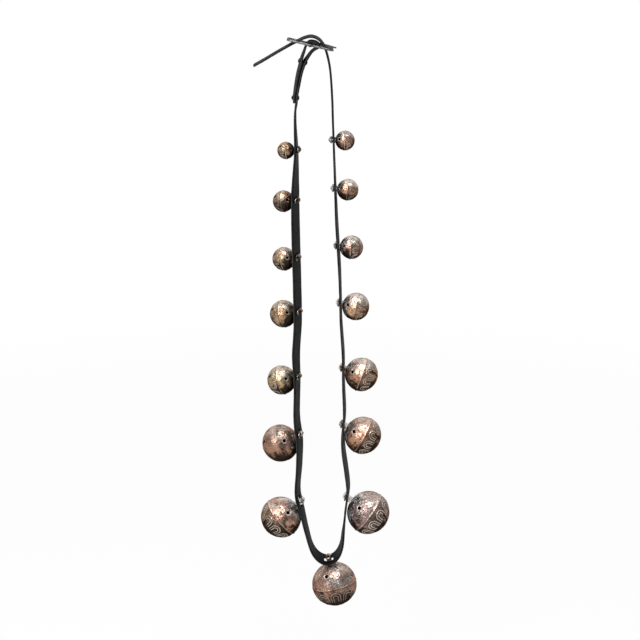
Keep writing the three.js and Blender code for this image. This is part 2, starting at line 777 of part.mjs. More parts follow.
// Rivets through both layers of the fold: a domed head, and a burr under the peened end.
function foldRivet(label, outerZ, headOutside) {
  const fold = FOLD.findIndex(([, z]) => z === foldTop);
  const outerX = FOLD.slice(0, fold).reduce((best, point) =>
    Math.abs(point[1] - outerZ) < Math.abs(best[1] - outerZ) ? point : best,
  )[0];
  const outer = strapFrame(lengthNear(outerX, outerZ, 0, foldEnd / 2));
  const facing = outer.point.clone().addScaledVector(outer.out, 4 * STRAP_THICKNESS);
  const inner = strapFrame(lengthNear(facing.x, facing.z, foldEnd / 2, foldEnd));
  const way = outer.out.clone().sub(inner.out).normalize();
  const spread = inner.point.clone().sub(outer.point).dot(way);
  const grip = spread + STRAP_THICKNESS + 2 * (CLEARANCE + SLOT_EASE / 2);
  const middle = outer.point.clone().addScaledVector(way, spread / 2);
  leather = leather.subtract(
    solid(
      rod(
        RIVET_RADIUS + CLEARANCE,
        middle.clone().addScaledVector(way, -grip / 2 - OVERCUT),
        middle.clone().addScaledVector(way, grip / 2 + OVERCUT),
        RIVET_SIDES,
      ),
    ),
  );
  const stack = new THREE.Group();
  const headWay = way.clone().multiplyScalar(headOutside ? -1 : 1);
  stack.position.copy(middle);
  stack.quaternion.setFromUnitVectors(new THREE.Vector3(0, 1, 0), headWay);
  part.add(stack);
  const tilt = Math.max(outer.out.angleTo(way), inner.out.clone().negate().angleTo(way));
  const lift = grip / 2 + RIVET_HEAD_RADIUS * Math.tan(tilt);
  const burrTop = lift + BURR_THICKNESS + CLEARANCE;
  const profile = [
    [0, -burrTop - PEEN_RISE],
    [PEEN_RADIUS * 0.75, -burrTop - PEEN_RISE * 0.7],
    [PEEN_RADIUS, -burrTop],
    [RIVET_RADIUS, -burrTop],
    [RIVET_RADIUS, lift],
    [RIVET_HEAD_RADIUS, lift],
    [RIVET_HEAD_RADIUS * 0.8, lift + RIVET_HEAD_RISE * 0.6],
    [0, lift + RIVET_HEAD_RISE],
  ];
  const turned = new THREE.LatheGeometry(
    profile.map(([x, y]) => new THREE.Vector2(x, y)),
    RIVET_SIDES,
  );
  piece(stack, `rivet_${label}`, turned, COPPER);
  const bore = RIVET_RADIUS + CLEARANCE;
  const ring = [
    [bore, -lift - BURR_THICKNESS],
    [BURR_RADIUS, -lift - BURR_THICKNESS],
    [BURR_RADIUS, -lift],
    [bore, -lift],
    [bore, -lift - BURR_THICKNESS],
  ];
  const washer = new THREE.LatheGeometry(
    ring.map(([x, y]) => new THREE.Vector2(x, y)),
    RIVET_SIDES,
  );
  piece(stack, `burr_${label}`, washer, COPPER);
}
foldRivet("upper", UPPER_RIVET_Z, true);
foldRivet("lower", LOWER_RIVET_Z, false);

piece(part, "strap", geometryOf(leather), LEATHER);
part.userData = { rock: FRAME_ROCK, lift: TONGUE_LIFT };

export default part;
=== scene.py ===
# %% [markdown]
# # A sleigh bell strap
# The object is a leather harness strap, buckled into a loop and hung by its buckle. Cast bells in
# graded sizes stand out of it all round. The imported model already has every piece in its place, so
# this lesson loads it as a frame and gives each piece the surface that the real one has. Everything
# is in metres, and the hanging point under the buckle's centre bar is the origin.

# %% Load the frame
import json
from math import cos, degrees, dist, pi, radians, sin, sqrt, tan, tau

import bpy
import numpy as np
from mathutils import Matrix, Vector


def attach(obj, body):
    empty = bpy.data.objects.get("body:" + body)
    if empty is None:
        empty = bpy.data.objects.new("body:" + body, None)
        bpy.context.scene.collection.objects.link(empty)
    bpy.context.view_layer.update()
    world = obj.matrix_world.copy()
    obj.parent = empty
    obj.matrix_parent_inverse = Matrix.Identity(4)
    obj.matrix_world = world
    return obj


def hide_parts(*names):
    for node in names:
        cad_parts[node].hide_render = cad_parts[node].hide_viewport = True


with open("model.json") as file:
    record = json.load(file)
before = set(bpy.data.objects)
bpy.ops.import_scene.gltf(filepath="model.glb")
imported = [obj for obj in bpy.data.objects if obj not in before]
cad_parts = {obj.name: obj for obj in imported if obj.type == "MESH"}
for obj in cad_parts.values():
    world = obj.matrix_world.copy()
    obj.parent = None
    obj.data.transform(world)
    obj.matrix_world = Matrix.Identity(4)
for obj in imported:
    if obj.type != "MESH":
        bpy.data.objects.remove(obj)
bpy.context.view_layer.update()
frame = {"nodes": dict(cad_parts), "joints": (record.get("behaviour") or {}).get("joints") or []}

# %% [markdown]
# ## Where things are
# Each bell turns on a pin, and its pellet rolls about the middle of the bell. So two hinges of the
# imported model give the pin, the middle of the bell and the way the strap's width runs. From those
# three comes a small set of axes for each bell: X out of the strap, Y along the pin.

# %% Axes of the bells
MM = 0.001
SIZES = [1, 3, 4, 6, 7, 11, 13, 15, 14, 11, 9, 6, 4, 3, 2]
NUMBERS = [f"{place:02d}" for place in range(1, len(SIZES) + 1)]
BOTTOM_BELL = 8
hinges = {joint["name"]: joint for joint in frame["joints"]}


def graded(first, step, size):
    """A measure that grows with a bell's size number."""
    return first + step * (size - 1)


def axes_at(point, outward, across):
    """Axes at a point: X outward and Y across."""
    axes = Matrix((outward, across, outward.cross(across))).transposed().to_4x4()
    axes.translation = point
    return axes


def bell_axes(number):
    """A bell's axes at its pin, how far off its middle is, and which way its top lies."""
    swing = hinges[f"bell_{number}_swing"]
    pin = Vector(swing["pos_m"])
    outward = Vector(hinges[f"pellet_{number}_roll"]["pos_m"]) - pin
    up = -1 if int(number) <= BOTTOM_BELL else 1
    across = Vector(swing["axis"]).normalized() * -up
    return axes_at(pin, outward.normalized(), across), outward.length, up


bell_places = {number: bell_axes(number) for number in NUMBERS}
print("reach of the bells, mm:", [round(place[1] / MM, 1) for place in bell_places.values()])

# %% [markdown]
# ## Camera
# The photograph was taken from in front, a little above the top of the loop, with a long lens that
# looks down at the middle of it. A square picture from this place shows the loop as it hung.

# %% Camera
SENSOR, LENS = 36, 70.3
EYE = (0.0132, -1.7364, 0.1191)
TILT = radians(73.7)
FAR_CLIP = 20


def show(label, data):
    """A new object of the scene."""
    thing = bpy.data.objects.new(label, data)
    bpy.context.scene.collection.objects.link(thing)
    return thing


camera = show("camera", bpy.data.cameras.new("camera"))
camera.data.sensor_width, camera.data.lens = SENSOR, LENS
camera.data.clip_end = FAR_CLIP
camera.location = EYE
camera.rotation_euler = (TILT, 0, 0)
bpy.context.scene.camera = camera
print("camera at", EYE)

# %% [markdown]
# ## Sockets that do sums
# Finishes and shapes are both made from nodes. Wiring them one by one hides the sums, so a small
# class wraps a socket, and Python's own operators add the Math nodes. A board is one node tree, and
# its add method makes any other node from values, links and settings.

# %% Sockets
def tint(red, green, blue):
    """A colour that can go into a socket."""
    return red, green, blue, 1


def sum_of(operation, swapped=False):
    """A method that adds a Math node for two values."""
    def method(self, other):
        return self.board.maths(operation, *((other, self) if swapped else (self, other)))
    return method


class Flow:
    """One socket of a board. Sums with it add Math nodes."""

    __add__ = __radd__ = sum_of("ADD")
    __sub__, __rsub__ = sum_of("SUBTRACT"), sum_of("SUBTRACT", True)
    __mul__ = __rmul__ = sum_of("MULTIPLY")
    __truediv__, __rtruediv__ = sum_of("DIVIDE"), sum_of("DIVIDE", True)
    __pow__ = sum_of("POWER")
    most, least = sum_of("MAXIMUM"), sum_of("MINIMUM")

    def __init__(self, board, socket):
        self.board, self.socket = board, socket

    def ramp(self, low, high):
        """0 at low and 1 at high, with soft ends."""
        sockets = {"Value": self, "From Min": low, "From Max": high}
        return self.board.shade("MapRange", sockets, interpolation_type="SMOOTHSTEP")

    def bump_at(self, middle, width):
        """A smooth hill of height 1 about a value."""
        return self.board.maths("EXPONENT", ((self - middle) / width) ** 2 * -1)


print("sockets do sums as", Flow.__name__)

# %% Node trees
class Board:
    """One node tree, for a finish or for a shape."""

    def __init__(self, tree):
        self.tree = tree

    def add(self, kind, sockets=None, out=0, **settings):
        node = self.tree.nodes.new(kind)
        for key, value in settings.items():
            setattr(node, key, value)
        for key, value in (sockets or {}).items():
            for each in value if isinstance(value, list) else [value]:
                if isinstance(each, Flow):
                    self.tree.links.new(each.socket, node.inputs[key])
                else:
                    node.inputs[key].default_value = each
        return Flow(self, node.outputs[out]) if node.outputs else None

    def shade(self, kind, *sockets, **settings):
        return self.add("ShaderNode" + kind, *sockets, **settings)

    def geo(self, kind, *sockets, **settings):
        return self.add("GeometryNode" + kind, *sockets, **settings)

    def maths(self, operation, *values):
        return self.shade("Math", dict(enumerate(values)), operation=operation)

    def along(self, operation, *values, out=0):
        return self.shade("VectorMath", dict(enumerate(values)), out, operation=operation)

    def scaled(self, vector, size):
        return self.shade("VectorMath", {0: vector, 3: size}, operation="SCALE")

    def parts(self, vector):
        """The three numbers of a vector."""
        split = self.shade("SeparateXYZ", {0: vector}).socket.node
        return [Flow(self, socket) for socket in split.outputs]

    def vector(self, *values):
        """A vector of one to three numbers. What is left out is zero."""
        return self.shade("CombineXYZ", dict(enumerate(values)))

    def noise(self, place, scale, detail=3, roughness=0.55, warp=0):
        sockets = {"Vector": place, "Scale": scale, "Detail": detail}
        return self.shade("TexNoise", {**sockets, "Roughness": roughness, "Distortion": warp})

    def cells(self, place, scale):
        return self.shade("TexVoronoi", {"Vector": place, "Scale": scale}, "Distance")

    def mix(self, share, first, second):
        return self.shade("Mix", {0: share, 6: first, 7: second}, 2, data_type="RGBA")

    def coats(self, first, *others):
        """A colour with others laid over it in turn, each with its share."""
        colour = tint(*first)
        for share, other in others:
            colour = self.mix(share, colour, tint(*other))
        return colour

    def join(self, *shapes):
        return self.geo("MeshBoolean", {1: list(shapes)}, operation="UNION", solver="MANIFOLD")

    def cut(self, shape, tools):
        sockets = {0: shape, 1: tools}
        return self.geo("MeshBoolean", sockets, operation="DIFFERENCE", solver="MANIFOLD")


print("a node tree is a", Board.__name__)

# %% [markdown]
# ## Finishes
# A finish is a material made of nodes. Each starts from a clean tree, and those of the strap's pieces
# end in a Principled shader. What changes over the surface goes to its colour, roughness, metal or
# bump, and what is the same all over is set as a plain value.

# %% Start of a finish
def clear_board(thing):
    """The emptied node tree of a material or a world."""
    thing.use_nodes = True
    thing.node_tree.nodes.clear()
    return Board(thing.node_tree)


def new_finish(label):
    material = bpy.data.materials.new(label)
    board = clear_board(material)
    return material, board, board.shade("TexCoord", None, "Object")


def close_finish(material, colour, rough, dent, **others):
    """Ends a finish. The dent is the strength, the depth and the height of a bump."""
    board = Board(material.node_tree)
    dent = board.shade("Bump", dict(zip(("Strength", "Distance", "Height"), dent)))
    sockets = {"Base Color": colour, "Roughness": rough, "Normal": dent}
    sockets |= {key.replace("_", " "): value for key, value in others.items()}
    board.shade("OutputMaterial", {"Surface": board.shade("BsdfPrincipled", sockets)})
    print("made", material.name)


def kept_marks(board, names):
    """Values that the shape's tree has kept for the finish."""
    return [board.shade("Attribute", None, "Fac", attribute_name=name) for name in names.split()]


print("finishes start from", len(bpy.data.materials), "packed materials")

# %% [markdown]
# ## Harness leather
# The strap is old harness leather, blacked and oiled until it is nearly black. Its faces have fine
# grain and a few creases across, and its edges are rubbed grey. On the outer side of the loop the
# edges are lighter still, partly from rubbing and partly a painted highlight. The grain is a small
# cell pattern, the rubbing comes from how near a point is to an edge, and the painted highlight
# from that and from its side of the leather. The short end of the fold is wrong side out, so there
# the sides change places.

# %% Leather finish
FOLD_TURN = 0.086, 0.094
leather, board, place = new_finish("blacked harness leather")
edge, run, side = kept_marks(board, "edge run side")
outer = side * (run.ramp(*FOLD_TURN) * 2 - 1)
grain = board.cells(place, 900)
mottle = board.noise(place, 55, 4)
streak = board.noise(board.vector(run * 90, edge * 3), 1, 3)
rubbed = (edge * 0.7 + mottle * 0.6).ramp(0.75, 1.15)
dusty = (mottle * 0.6 + streak * 0.5).ramp(0.42, 0.75)
# edge corners on the outer side of the loop: partly rubbed, partly a painted highlight
rubbed_and_lit_edge = edge.ramp(0.9, 1) * (outer + (mottle - 0.5) * 1.6).ramp(-0.2, 0.9)
black = board.coats(
    (0.003, 0.003, 0.003),
    (dusty, (0.012, 0.0117, 0.0113)),
    (rubbed * 0.5, (0.028, 0.027, 0.026)),
    (rubbed_and_lit_edge, (0.065, 0.0635, 0.061)),
)
height = grain.ramp(0, 0.6) * 0.35 + mottle * 0.4 + streak * 0.5
rough = 0.42 + mottle * 0.25 - rubbed * 0.08
close_finish(leather, black, rough, (0.35, 0.0006, height), Specular_IOR_Level=0.03)

# %% [markdown]
# ## The strap's line
# Seen from the front the strap is one line: from the loose end of the fold, round the buckle's bar,
# down one side, round the bottom and up the other, over the bar again and out to its tip. The points
# are in millimetres across and up, with a turn in degrees where the leather twists towards the
# front. A smooth curve goes through them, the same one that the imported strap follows.

# %% Route of the strap
FOLD = [
    (-22.7, -76, 2), (-22.3, -68.3, 2.5), (-21.3, -60.3, 3), (-19.8, -52.2, 4), (-18.4, -44.2, 4.4),
    (-16.7, -36.1, 4.4), (-14.6, -28.1, 4.4), (-12.7, -20, 4), (-11, -14, 3), (-8.4, -7, 1.5),
    (-6.2, -0.6), (-3.24, 4.33), (0, 5.95), (5, 5.55), (9.4, 3.95), (11.9, 0.9), (10.6, -1.9),
    (6.6, -3.8), (2, -7.4, -1), (-1.3, -11.5, -2), (-4.2, -15.6, -3), (-7.3, -20.4, -4),
    (-10.2, -28.1, -4.4), (-12.8, -36.1, -4.4), (-14.6, -44.2, -4.4), (-16.1, -52.2, -4),
    (-17.6, -60.3, -3), (-18.7, -68.3, -2.5), (-19.2, -76.5, -1.5), (-20.3, -83, -1), (-21, -90),
]
LEFT_LEG = [
    (-21.2, -106.3, 1), (-20, -144.1, 5), (-21.6, -200.8, 16), (-21.3, -257.5, 17.5),
    (-19.7, -333.1, 17.5), (-19.1, -396.1, 17.5), (-21.7, -440.2, 17), (-20.4, -484.3, 13),
    (-21.1, -541, 12.5), (-17.2, -578.8, 14), (-18, -616.6, 13), (-20.3, -660.7, 11),
    (-13.4, -692.2, 7), (-6.6, -723.7, 4),
]
BOTTOM = [
    (1.18, -751.84, 2), (8.41, -763.6, 2), (17.31, -770.32, 2), (26.2, -772, 2),
    (34.54, -768.64, 2), (41.77, -759.4, 2), (46.22, -746.8, 2), (48.17, -732.1, 2),
]
RIGHT_LEG = [
    (49.64, -717.4, -1), (52.34, -685.9, -5), (55.84, -654.4, -7), (52.74, -622.9, -7),
    (48.44, -591.4, -7), (47.32, -566.2, -6), (49.52, -534.7, -5), (47.78, -484.3, -4),
    (47.12, -440.2, -4), (43.68, -389.8, -3), (42.52, -345.7, -3), (40.94, -307.9, -4),
    (36.94, -244.9, -4), (34.7, -194.5, -2), (33.22, -156.7, -1), (31, -100),
]
BILLET = [
    (30.2, -76), (28.8, -51), (27, -31), (24.6, -18), (21.4, -6.4), (17, 3.2), (10.5, 9.8),
    (1.8, 12.8), (-7.8, 11), (-18.7, 6), (-29, 0.8), (-39.2, -4.8), (-52.8, -12.5), (-64.6, -19.4),
    (-77, -26.2),
]
whole_route = FOLD + LEFT_LEG + BOTTOM + RIGHT_LEG + BILLET
route = np.array([(*point, 0)[:3] for point in whole_route], float)
print("route of", len(route), "points")

# %% Smooth line
def smooth_line(points, steps):
    """A centripetal curve through points: steps of it between each two."""
    ends = [2 * points[0] - points[1], *points, 2 * points[-1] - points[-2]]
    shares = np.linspace(0, 1, steps, endpoint=False)[:, None]
    found = []
    for before, start, stop, after in zip(ends, ends[1:], ends[2:], ends[3:]):
        pairs = (before, start), (start, stop), (stop, after)
        first, gap, last = (sqrt(dist(a[:2], b[:2])) for a, b in pairs)
        step = stop - start
        leave = ((start - before) / first - (stop - before) / (first + gap) + step / gap) * gap
        meet = (step / gap - (after - start) / (gap + last) + (after - stop) / last) * gap
        curve = start + leave * shares + (3 * step - 2 * leave - meet) * shares ** 2
        curve = curve + (-2 * step + leave + meet) * shares ** 3
        curve[:, 2] = (start + step * shares)[:, 2]
        found.append(curve)
    return np.vstack([*found, points[-1][None]])


LINE_STEPS = 40
dense = smooth_line(route, LINE_STEPS)
lengths = np.concatenate([[0], np.cumsum(np.hypot(*np.diff(dense[:, :2], axis=0).T))])
strap_length = lengths[-1]
print("strap is", round(strap_length), "mm long")

# %% [markdown]
# ## The strap's own axes
# At each place the strap has three directions: along it, across its width, and out of the loop.
# They are kept at every millimetre and a half, so that slots, pins and the sweep all agree.

# %% Axes along the strap
STEP = 1.5
stations = np.linspace(0, strap_length, int(strap_length / STEP))
line_x, line_z, line_turn = (np.interp(stations, lengths, dense[:, axis]) for axis in range(3))
slope_x, slope_z = np.gradient(line_x, stations), np.gradient(line_z, stations)
slope = np.hypot(slope_x, slope_z)
line_along = np.stack([slope_x / slope, np.zeros_like(slope), slope_z / slope], 1)
turn = np.radians(line_turn)[:, None]
level = np.array([0, 1, 0])
line_across = level * np.cos(turn) + np.cross(line_along, level) * np.sin(turn)
line_out = np.cross(line_across, line_along)
line_points = np.stack([line_x, np.zeros_like(line_x), line_z], 1) * MM


def station_near(point):
    """Length along the strap of the place nearest to a point, in millimetres."""
    return float(stations[np.argmin(np.linalg.norm(line_points - np.array(point), axis=1))])


bell_stations = [station_near(bell_places[number][0].translation) for number in NUMBERS]


def seat_axes(number, station):
    """Axes of a bell's seat at its pin: out of the strap, along the pin, and their cross."""
    place = int(np.abs(stations - station).argmin())
    bell = bell_places[number][0]
    across = bell.to_3x3().col[1]
    out_by = across.cross(Vector(line_along[place])).normalized()
    return axes_at(bell.translation, out_by, across), place


print("bells at", [round(station) for station in bell_stations], "mm along")

# %% [markdown]
# ## Shapes from nodes
# Geometry Nodes fit pieces that follow a path or a rule. A tree gets named sizes, a carrier object
# runs it, and the result is kept as a plain mesh so that nothing live is left. The carrier's mesh
# can bring a path along, with extra values on its points.

# %% Start and end of a tree
KINDS = {"Points": "NodeSocketInt", "Up": "NodeSocketVector", "Finish": "NodeSocketMaterial"}


def new_shape(label, names):
    """A tree with one geometry in and out, and named inputs, most of them plain sizes."""
    tree = bpy.data.node_groups.new(label, "GeometryNodeTree")
    tree.interface.new_socket("Carrier", in_out="INPUT", socket_type="NodeSocketGeometry")
    for name in names:
        kind = KINDS.get(name, "NodeSocketFloat")
        tree.interface.new_socket(name, in_out="INPUT", socket_type=kind)
    tree.interface.new_socket("Shape", in_out="OUTPUT", socket_type="NodeSocketGeometry")
    board = Board(tree)
    start = board.add("NodeGroupInput").socket.node
    return board, {socket.name: Flow(board, socket) for socket in start.outputs if socket.name}


def close_shape(shape, material, sharp=0.6):
    """Ends a tree: real geometry, soft shading with sharp creases, and its finish."""
    board = shape.board
    shape = board.geo("RealizeInstances", {0: shape})
    shape = board.geo("SetShadeSmooth", {0: shape, "Shade Smooth": True}, domain="FACE")
    crease = board.geo("InputMeshEdgeAngle", None, "Unsigned Angle")
    crease = board.add("FunctionNodeCompare", {0: crease, 1: sharp}, operation="GREATER_THAN")
    sockets = {0: shape, "Selection": crease, "Shade Smooth": False}
    shape = board.geo("SetShadeSmooth", sockets, domain="EDGE")
    shape = board.geo("SetMaterial", {0: shape, "Material": material})
    board.add("NodeGroupOutput", {0: shape})


print("trees take sizes,", ", ".join(KINDS))

# %% Run a tree
def path_mesh(points, edges, **extras):
    """A mesh of points and edges with extra values, for a tree to follow."""
    mesh = bpy.data.meshes.new("path")
    mesh.from_pydata([tuple(point) for point in points], edges, [])
    for name, values in extras.items():
        vector = np.ndim(values) == 2
        kept = mesh.attributes.new(name, "FLOAT_VECTOR" if vector else "FLOAT", "POINT")
        kept.data.foreach_set("vector" if vector else "value", np.ravel(values))
    return mesh


def kept_mesh(holder):
    """What an object shows, as a plain mesh. The object goes."""
    depsgraph = bpy.context.evaluated_depsgraph_get()
    made = bpy.data.meshes.new_from_object(holder.evaluated_get(depsgraph), depsgraph=depsgraph)
    bpy.data.objects.remove(holder)
    return made


def run_tree(board, sizes, carrier=None):
    """The mesh that a tree makes from these sizes."""
    holder = show("holder", carrier or bpy.data.meshes.new("holder"))
    modifier = holder.modifiers.new("shape", "NODES")
    modifier.node_group = board.tree
    for item in board.tree.interface.items_tree:
        if item.in_out == "INPUT" and item.name in sizes:
            modifier[item.identifier] = sizes[item.name]
    return kept_mesh(holder)


def place_piece(label, mesh, body, slot, *nodes, axes=None):
    """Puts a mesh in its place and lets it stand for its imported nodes."""
    if axes is not None:
        mesh.transform(axes)
    mesh.name = label
    piece = show(label, mesh)
    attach(piece, body)
    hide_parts(*nodes)


print(len(frame["nodes"]), "pieces to make")

# %% [markdown]
# ## The strap
# The strap is cut from one hide, so it has one section all along: flat faces, and corners rounded by
# use. The section is swept along the line. Three values come with it for the finish: how near a
# point is to an edge, which side of the leather it is on and how far along the strap it is. Slots
# are short bars that are swept along the same line and taken away. Each shank's slot is as long as
# the leaning shank needs, with some ease.

# %% Slots in the strap
STRAP_WIDTH = 31.8
STRAP_THICKNESS = 3
CLEARANCE = 0.35
SLOT_EASE = 0.4
END_EASE = 0.5
PIN_RADIUS = 1.3
EYE_WALL = 1.8
EYE_HOLE = (PIN_RADIUS + CLEARANCE) / cos(pi / 6)
TONGUE_SLOT = 5.9
FOLD_SLOT = 73.75, 104.75
BILLET_HOLE = 1681.3, 1693.2


def shank_width(size):
    return graded(4.6, 0.2, size)


def shank_slot(number, size, station):
    """Start, end and width of a slot that lets a shank lean and tip."""
    axes, place = seat_axes(number, station)
    out_by, across, _ = axes.to_3x3().col
    behind = (Vector(line_points[place]) - axes.translation).dot(out_by) / MM
    low, high = hinges[f"bell_{number}_swing"]["range_deg"]
    lean, tip = radians(high - low) / 2, across.angle(Vector(line_across[place]))
    outside = behind + STRAP_THICKNESS / 2
    width = shank_width(size) + 2 * (CLEARANCE + SLOT_EASE + outside * tan(tip))
    drift = (outside + width / 2 * sin(tip)) * tan(lean)
    half = (EYE_HOLE + EYE_WALL) / cos(lean) + drift + SLOT_EASE + END_EASE
    return station - half, station + half, width


slots = [shank_slot(*bell) for bell in zip(NUMBERS, SIZES, bell_stations)]
slots += [(*ends, TONGUE_SLOT) for ends in (FOLD_SLOT, BILLET_HOLE)]
print(len(slots), "slots, the widest", round(max(slot[2] for slot in slots), 1), "mm")

# %% Section of the strap
ROUNDING = 0.9
FACE_STEPS = 10
EDGE_REACH = 4


def strap_section():
    """Points round the section: out of the loop, and across the width."""
    half, thick = STRAP_WIDTH / 2 - ROUNDING, STRAP_THICKNESS / 2 - ROUNDING
    points = []
    for quarter, (side_out, side_across) in enumerate([(1, 1), (-1, 1), (-1, -1), (1, -1)]):
        for step in range(4):
            angle = radians(90 * quarter + 30 * step)
            points.append((side_out * thick + ROUNDING * cos(angle),
                           side_across * half + ROUNDING * sin(angle)))
        if quarter % 2:
            for step in range(1, FACE_STEPS):
                share = 1 - 2 * step / FACE_STEPS
                points.append((side_out * STRAP_THICKNESS / 2, side_across * share * half))
    return np.array(points)


section = strap_section()
edge_near = np.abs(section[:, 1]) - STRAP_WIDTH / 2 + EDGE_REACH
edge_near = np.clip(edge_near / EDGE_REACH, 0, 1)
print("section of", len(section), "points")

# %% Carrier of the strap
count, corners = len(stations), len(section)
section_points = np.pad(section, ((0, 0), (0, 1))) * MM
links = [(i, i + 1) for i in range(count - 1)]
links += [(count + i, count + (i + 1) % corners) for i in range(corners)]
strap_carrier = path_mesh(
    np.vstack([line_points, section_points]),
    links,
    out=np.pad(line_out, ((0, corners), (0, 0))),
    run=np.pad(stations * MM, (0, corners)),
    edge=np.pad(edge_near, (count, 0)),
    side=np.pad(section[:, 0] / (STRAP_THICKNESS / 2), (count, 0)),
    section=np.pad(np.ones(corners), (count, 0)),
)
print("carrier of", len(strap_carrier.vertices), "points")

# %% Strap tree
UNEVENNESS = 0.3
SLOT_DEPTH = 6
strap_sizes = {"Unevenness": UNEVENNESS * MM, "Slot depth": SLOT_DEPTH * MM, "Finish": leather}
board, given = new_shape("strap", strap_sizes)


def kept(name, kind="FLOAT"):
    return board.geo("InputNamedAttribute", {"Name": name}, data_type=kind)


def strand(chosen, *dropped):
    """One string of the carrier's points as a curve, without values that belong to the other."""
    curve = board.geo("MeshToCurve", {0: given["Carrier"], 1: chosen})
    for name in dropped:
        curve = board.geo("RemoveAttribute", {0: curve, "Name": name})
    return curve


def facing_out(line):
    """A curve with the normals that its points bring."""
    return board.geo("SetCurveNormal", {0: line, 2: kept("out", "FLOAT_VECTOR")}, mode="FREE")


def swept(line, section, caps=True):
    return board.geo("CurveToMesh", {0: line, 1: section, "Fill Caps": caps})


def pushed(shape, by):
    """A shape with each point moved along its normal."""
    offset = board.scaled(board.geo("InputNormal"), by)
    return board.geo("SetPosition", {0: shape, "Offset": offset})


line = facing_out(strand(1 - kept("section"), "edge", "side"))
body = swept(line, strand(kept("section"), "run"))
spot = board.geo("InputPosition")
sway = board.noise(spot, 60, 2) - 0.5 + (board.noise(spot, 300, 2) - 0.5) * 0.5
body = pushed(body, sway * given["Unevenness"])
cutters = []
for start, stop, width in slots:
    reach = board.geo("TrimCurve", {0: line, 4: start * MM, 5: stop * MM}, mode="LENGTH")
    sizes = {"Width": given["Slot depth"], "Height": width * MM}
    cutters.append(swept(reach, board.geo("CurvePrimitiveQuadrilateral", sizes)))
close_shape(board.cut(body, cutters), given["Finish"], sharp=0.9)
mesh = run_tree(board, strap_sizes, strap_carrier)
place_piece("strap_leather", mesh, "strap", "leather", "strap")
print("strap of", len(mesh.polygons), "faces")

# %% [markdown]
# ## Aged bronze
# The bells are cast bronze that has browned with age, and no two have the same tone: some are mauve,
# some copper and some gold. Large dark stains lie over the tone, and underneath painted shade joins
# them. Painted shade also darkens the far half of the bells with worn crowns, a ring near the crown
# and a line under the seam's lip. The crown beside the strap is worn to silver white with black pits
# on some and nearly black on others. Rubbed places are light. The tops get a painted highlight of
# light patches, small bright flecks are painted glints, more of them on top, and a painted highlight
# rings each sound hole. The hollow and the walls of the sound holes are painted black as shade. The
# shape's tree keeps a value for each of these places, so that the finish follows the casting, and
# noise breaks every one of them up. The colours are laid on in turn, each over those before it.

# %% Bronze finish
bronze, board, place = new_finish("aged bronze")
petal, band, seam, groove, rim = kept_marks(board, "petal band seam groove rim")
crown, inside, under = kept_marks(board, "crown inside under")
tone, wear, polish = kept_marks(board, "tone wear polish")
cloud = board.noise(place, 30, 4, 0.6, 0.8)
patch = board.noise(place, 85, 5, 0.65, 0.6)
speck = board.noise(place, 420, 3, 0.7)
scratch = board.noise(place, 1500, 2, 0.6)
facet = board.cells(place, 210)
pits = board.noise(place, 260, 3, 0.65).ramp(0.55, 0.65)
hue = tone + (patch - 0.5) * 1.1
# real stains from noise, and painted shade that grows where the surface looks down
stain_and_shade = (under * 1.3 - 0.2 + (cloud - 0.5) * 2.2 + (patch - 0.5) * 1.8).ramp(0.24, 0.74)
# painted highlight: light patches on surfaces that look up
top_highlight_patches = (1 - under).ramp(0.45, 0.9) * (patch * 0.8 + cloud * 0.4).ramp(0.56, 0.72)
shade = crown.bump_at(0.7, 0.07) * (cloud + (patch - 0.5) * 0.8).ramp(0.46, 0.6)
# a painted highlight on surfaces that look up, as strong as each bell's Top highlight
top = (1 - under + (patch - 0.5) * 0.6).ramp(0.58, 0.9)
silver = crown + (cloud - 0.5) * 0.6 + (patch - 0.5) * 0.9 + (wear - 1) * 0.4
silver = silver.ramp(0.84, 0.94)
# painted glints: small bright flecks, more of them on surfaces that look up
glint_flecks = ((1 - under) * 0.3 + speck * 0.8 + (patch - 0.5) * 0.6).ramp(0.68, 0.82)
# painted shade on surfaces that look down
underside_shade = (under + (cloud - 0.5) * 0.5).ramp(0.58, 0.86)
rubbed = (seam + (patch - 0.5) * 1.6).ramp(0.55, 1)
colour = board.coats(
    (0.38, 0.27, 0.25),
    (hue.ramp(0.05, 0.5), (0.58, 0.31, 0.2)),
    (hue.ramp(0.5, 1.05), (0.66, 0.48, 0.26)),
    # painted shade: the far half darker, more on bells with worn crowns
    (crown.ramp(0.56, 0.44) * wear * 0.5, (0.15, 0.09, 0.06)),
    (stain_and_shade * 0.93, (0.018, 0.013, 0.011)),
    (top_highlight_patches * (0.2 + 0.55 * polish), (0.92, 0.85, 0.78)),
    (shade * 0.8, (0.03, 0.022, 0.02)),
    (crown.ramp(0.55, 0.82) * (1 - wear) * 0.8, (0.02, 0.015, 0.012)),
    (top * polish * 0.75, (0.93, 0.88, 0.83)),
    (silver * 0.9, (0.88, 0.87, 0.86)),
    (glint_flecks * 0.75, (0.9, 0.84, 0.77)),
    (underside_shade * 0.75, (0.025, 0.017, 0.013)),
    (pits * (0.5 + 0.45 * silver), (0.02, 0.015, 0.013)),
    ((1 - petal) * band * 0.45, (0.075, 0.055, 0.045)),
    (petal.ramp(0.3, 0.75) * 0.85, (0.74, 0.65, 0.55)),
    (rubbed * 0.7, (0.85, 0.72, 0.56)),
    # painted shadow under the seam's lip
    (groove * 0.5, (0.03, 0.02, 0.016)),
    # painted highlight round the sound holes, more on worn crowns
    (rim * (0.25 + 0.5 * wear), (0.88, 0.83, 0.77)),
    # painted shade: the hollow and the walls of the sound holes black
    (inside, (0.006, 0.005, 0.004)),
)
rough = 0.27 + patch * 0.2 + stain_and_shade * 0.14 + pits * 0.2 - silver * 0.06 - glint_flecks * 0.06
rough = rough + inside * 0.4
height = scratch * 0.12 + speck * 0.6 - pits * 0.9 + facet * 0.9
metal, shine = (1 - inside) * (0.98 - 0.08 * stain_and_shade), tint(0.36, 0.32, 0.29)
close_finish(bronze, colour, rough, (0.7, 0.0006, height), Metallic=metal, Specular_Tint=shine)
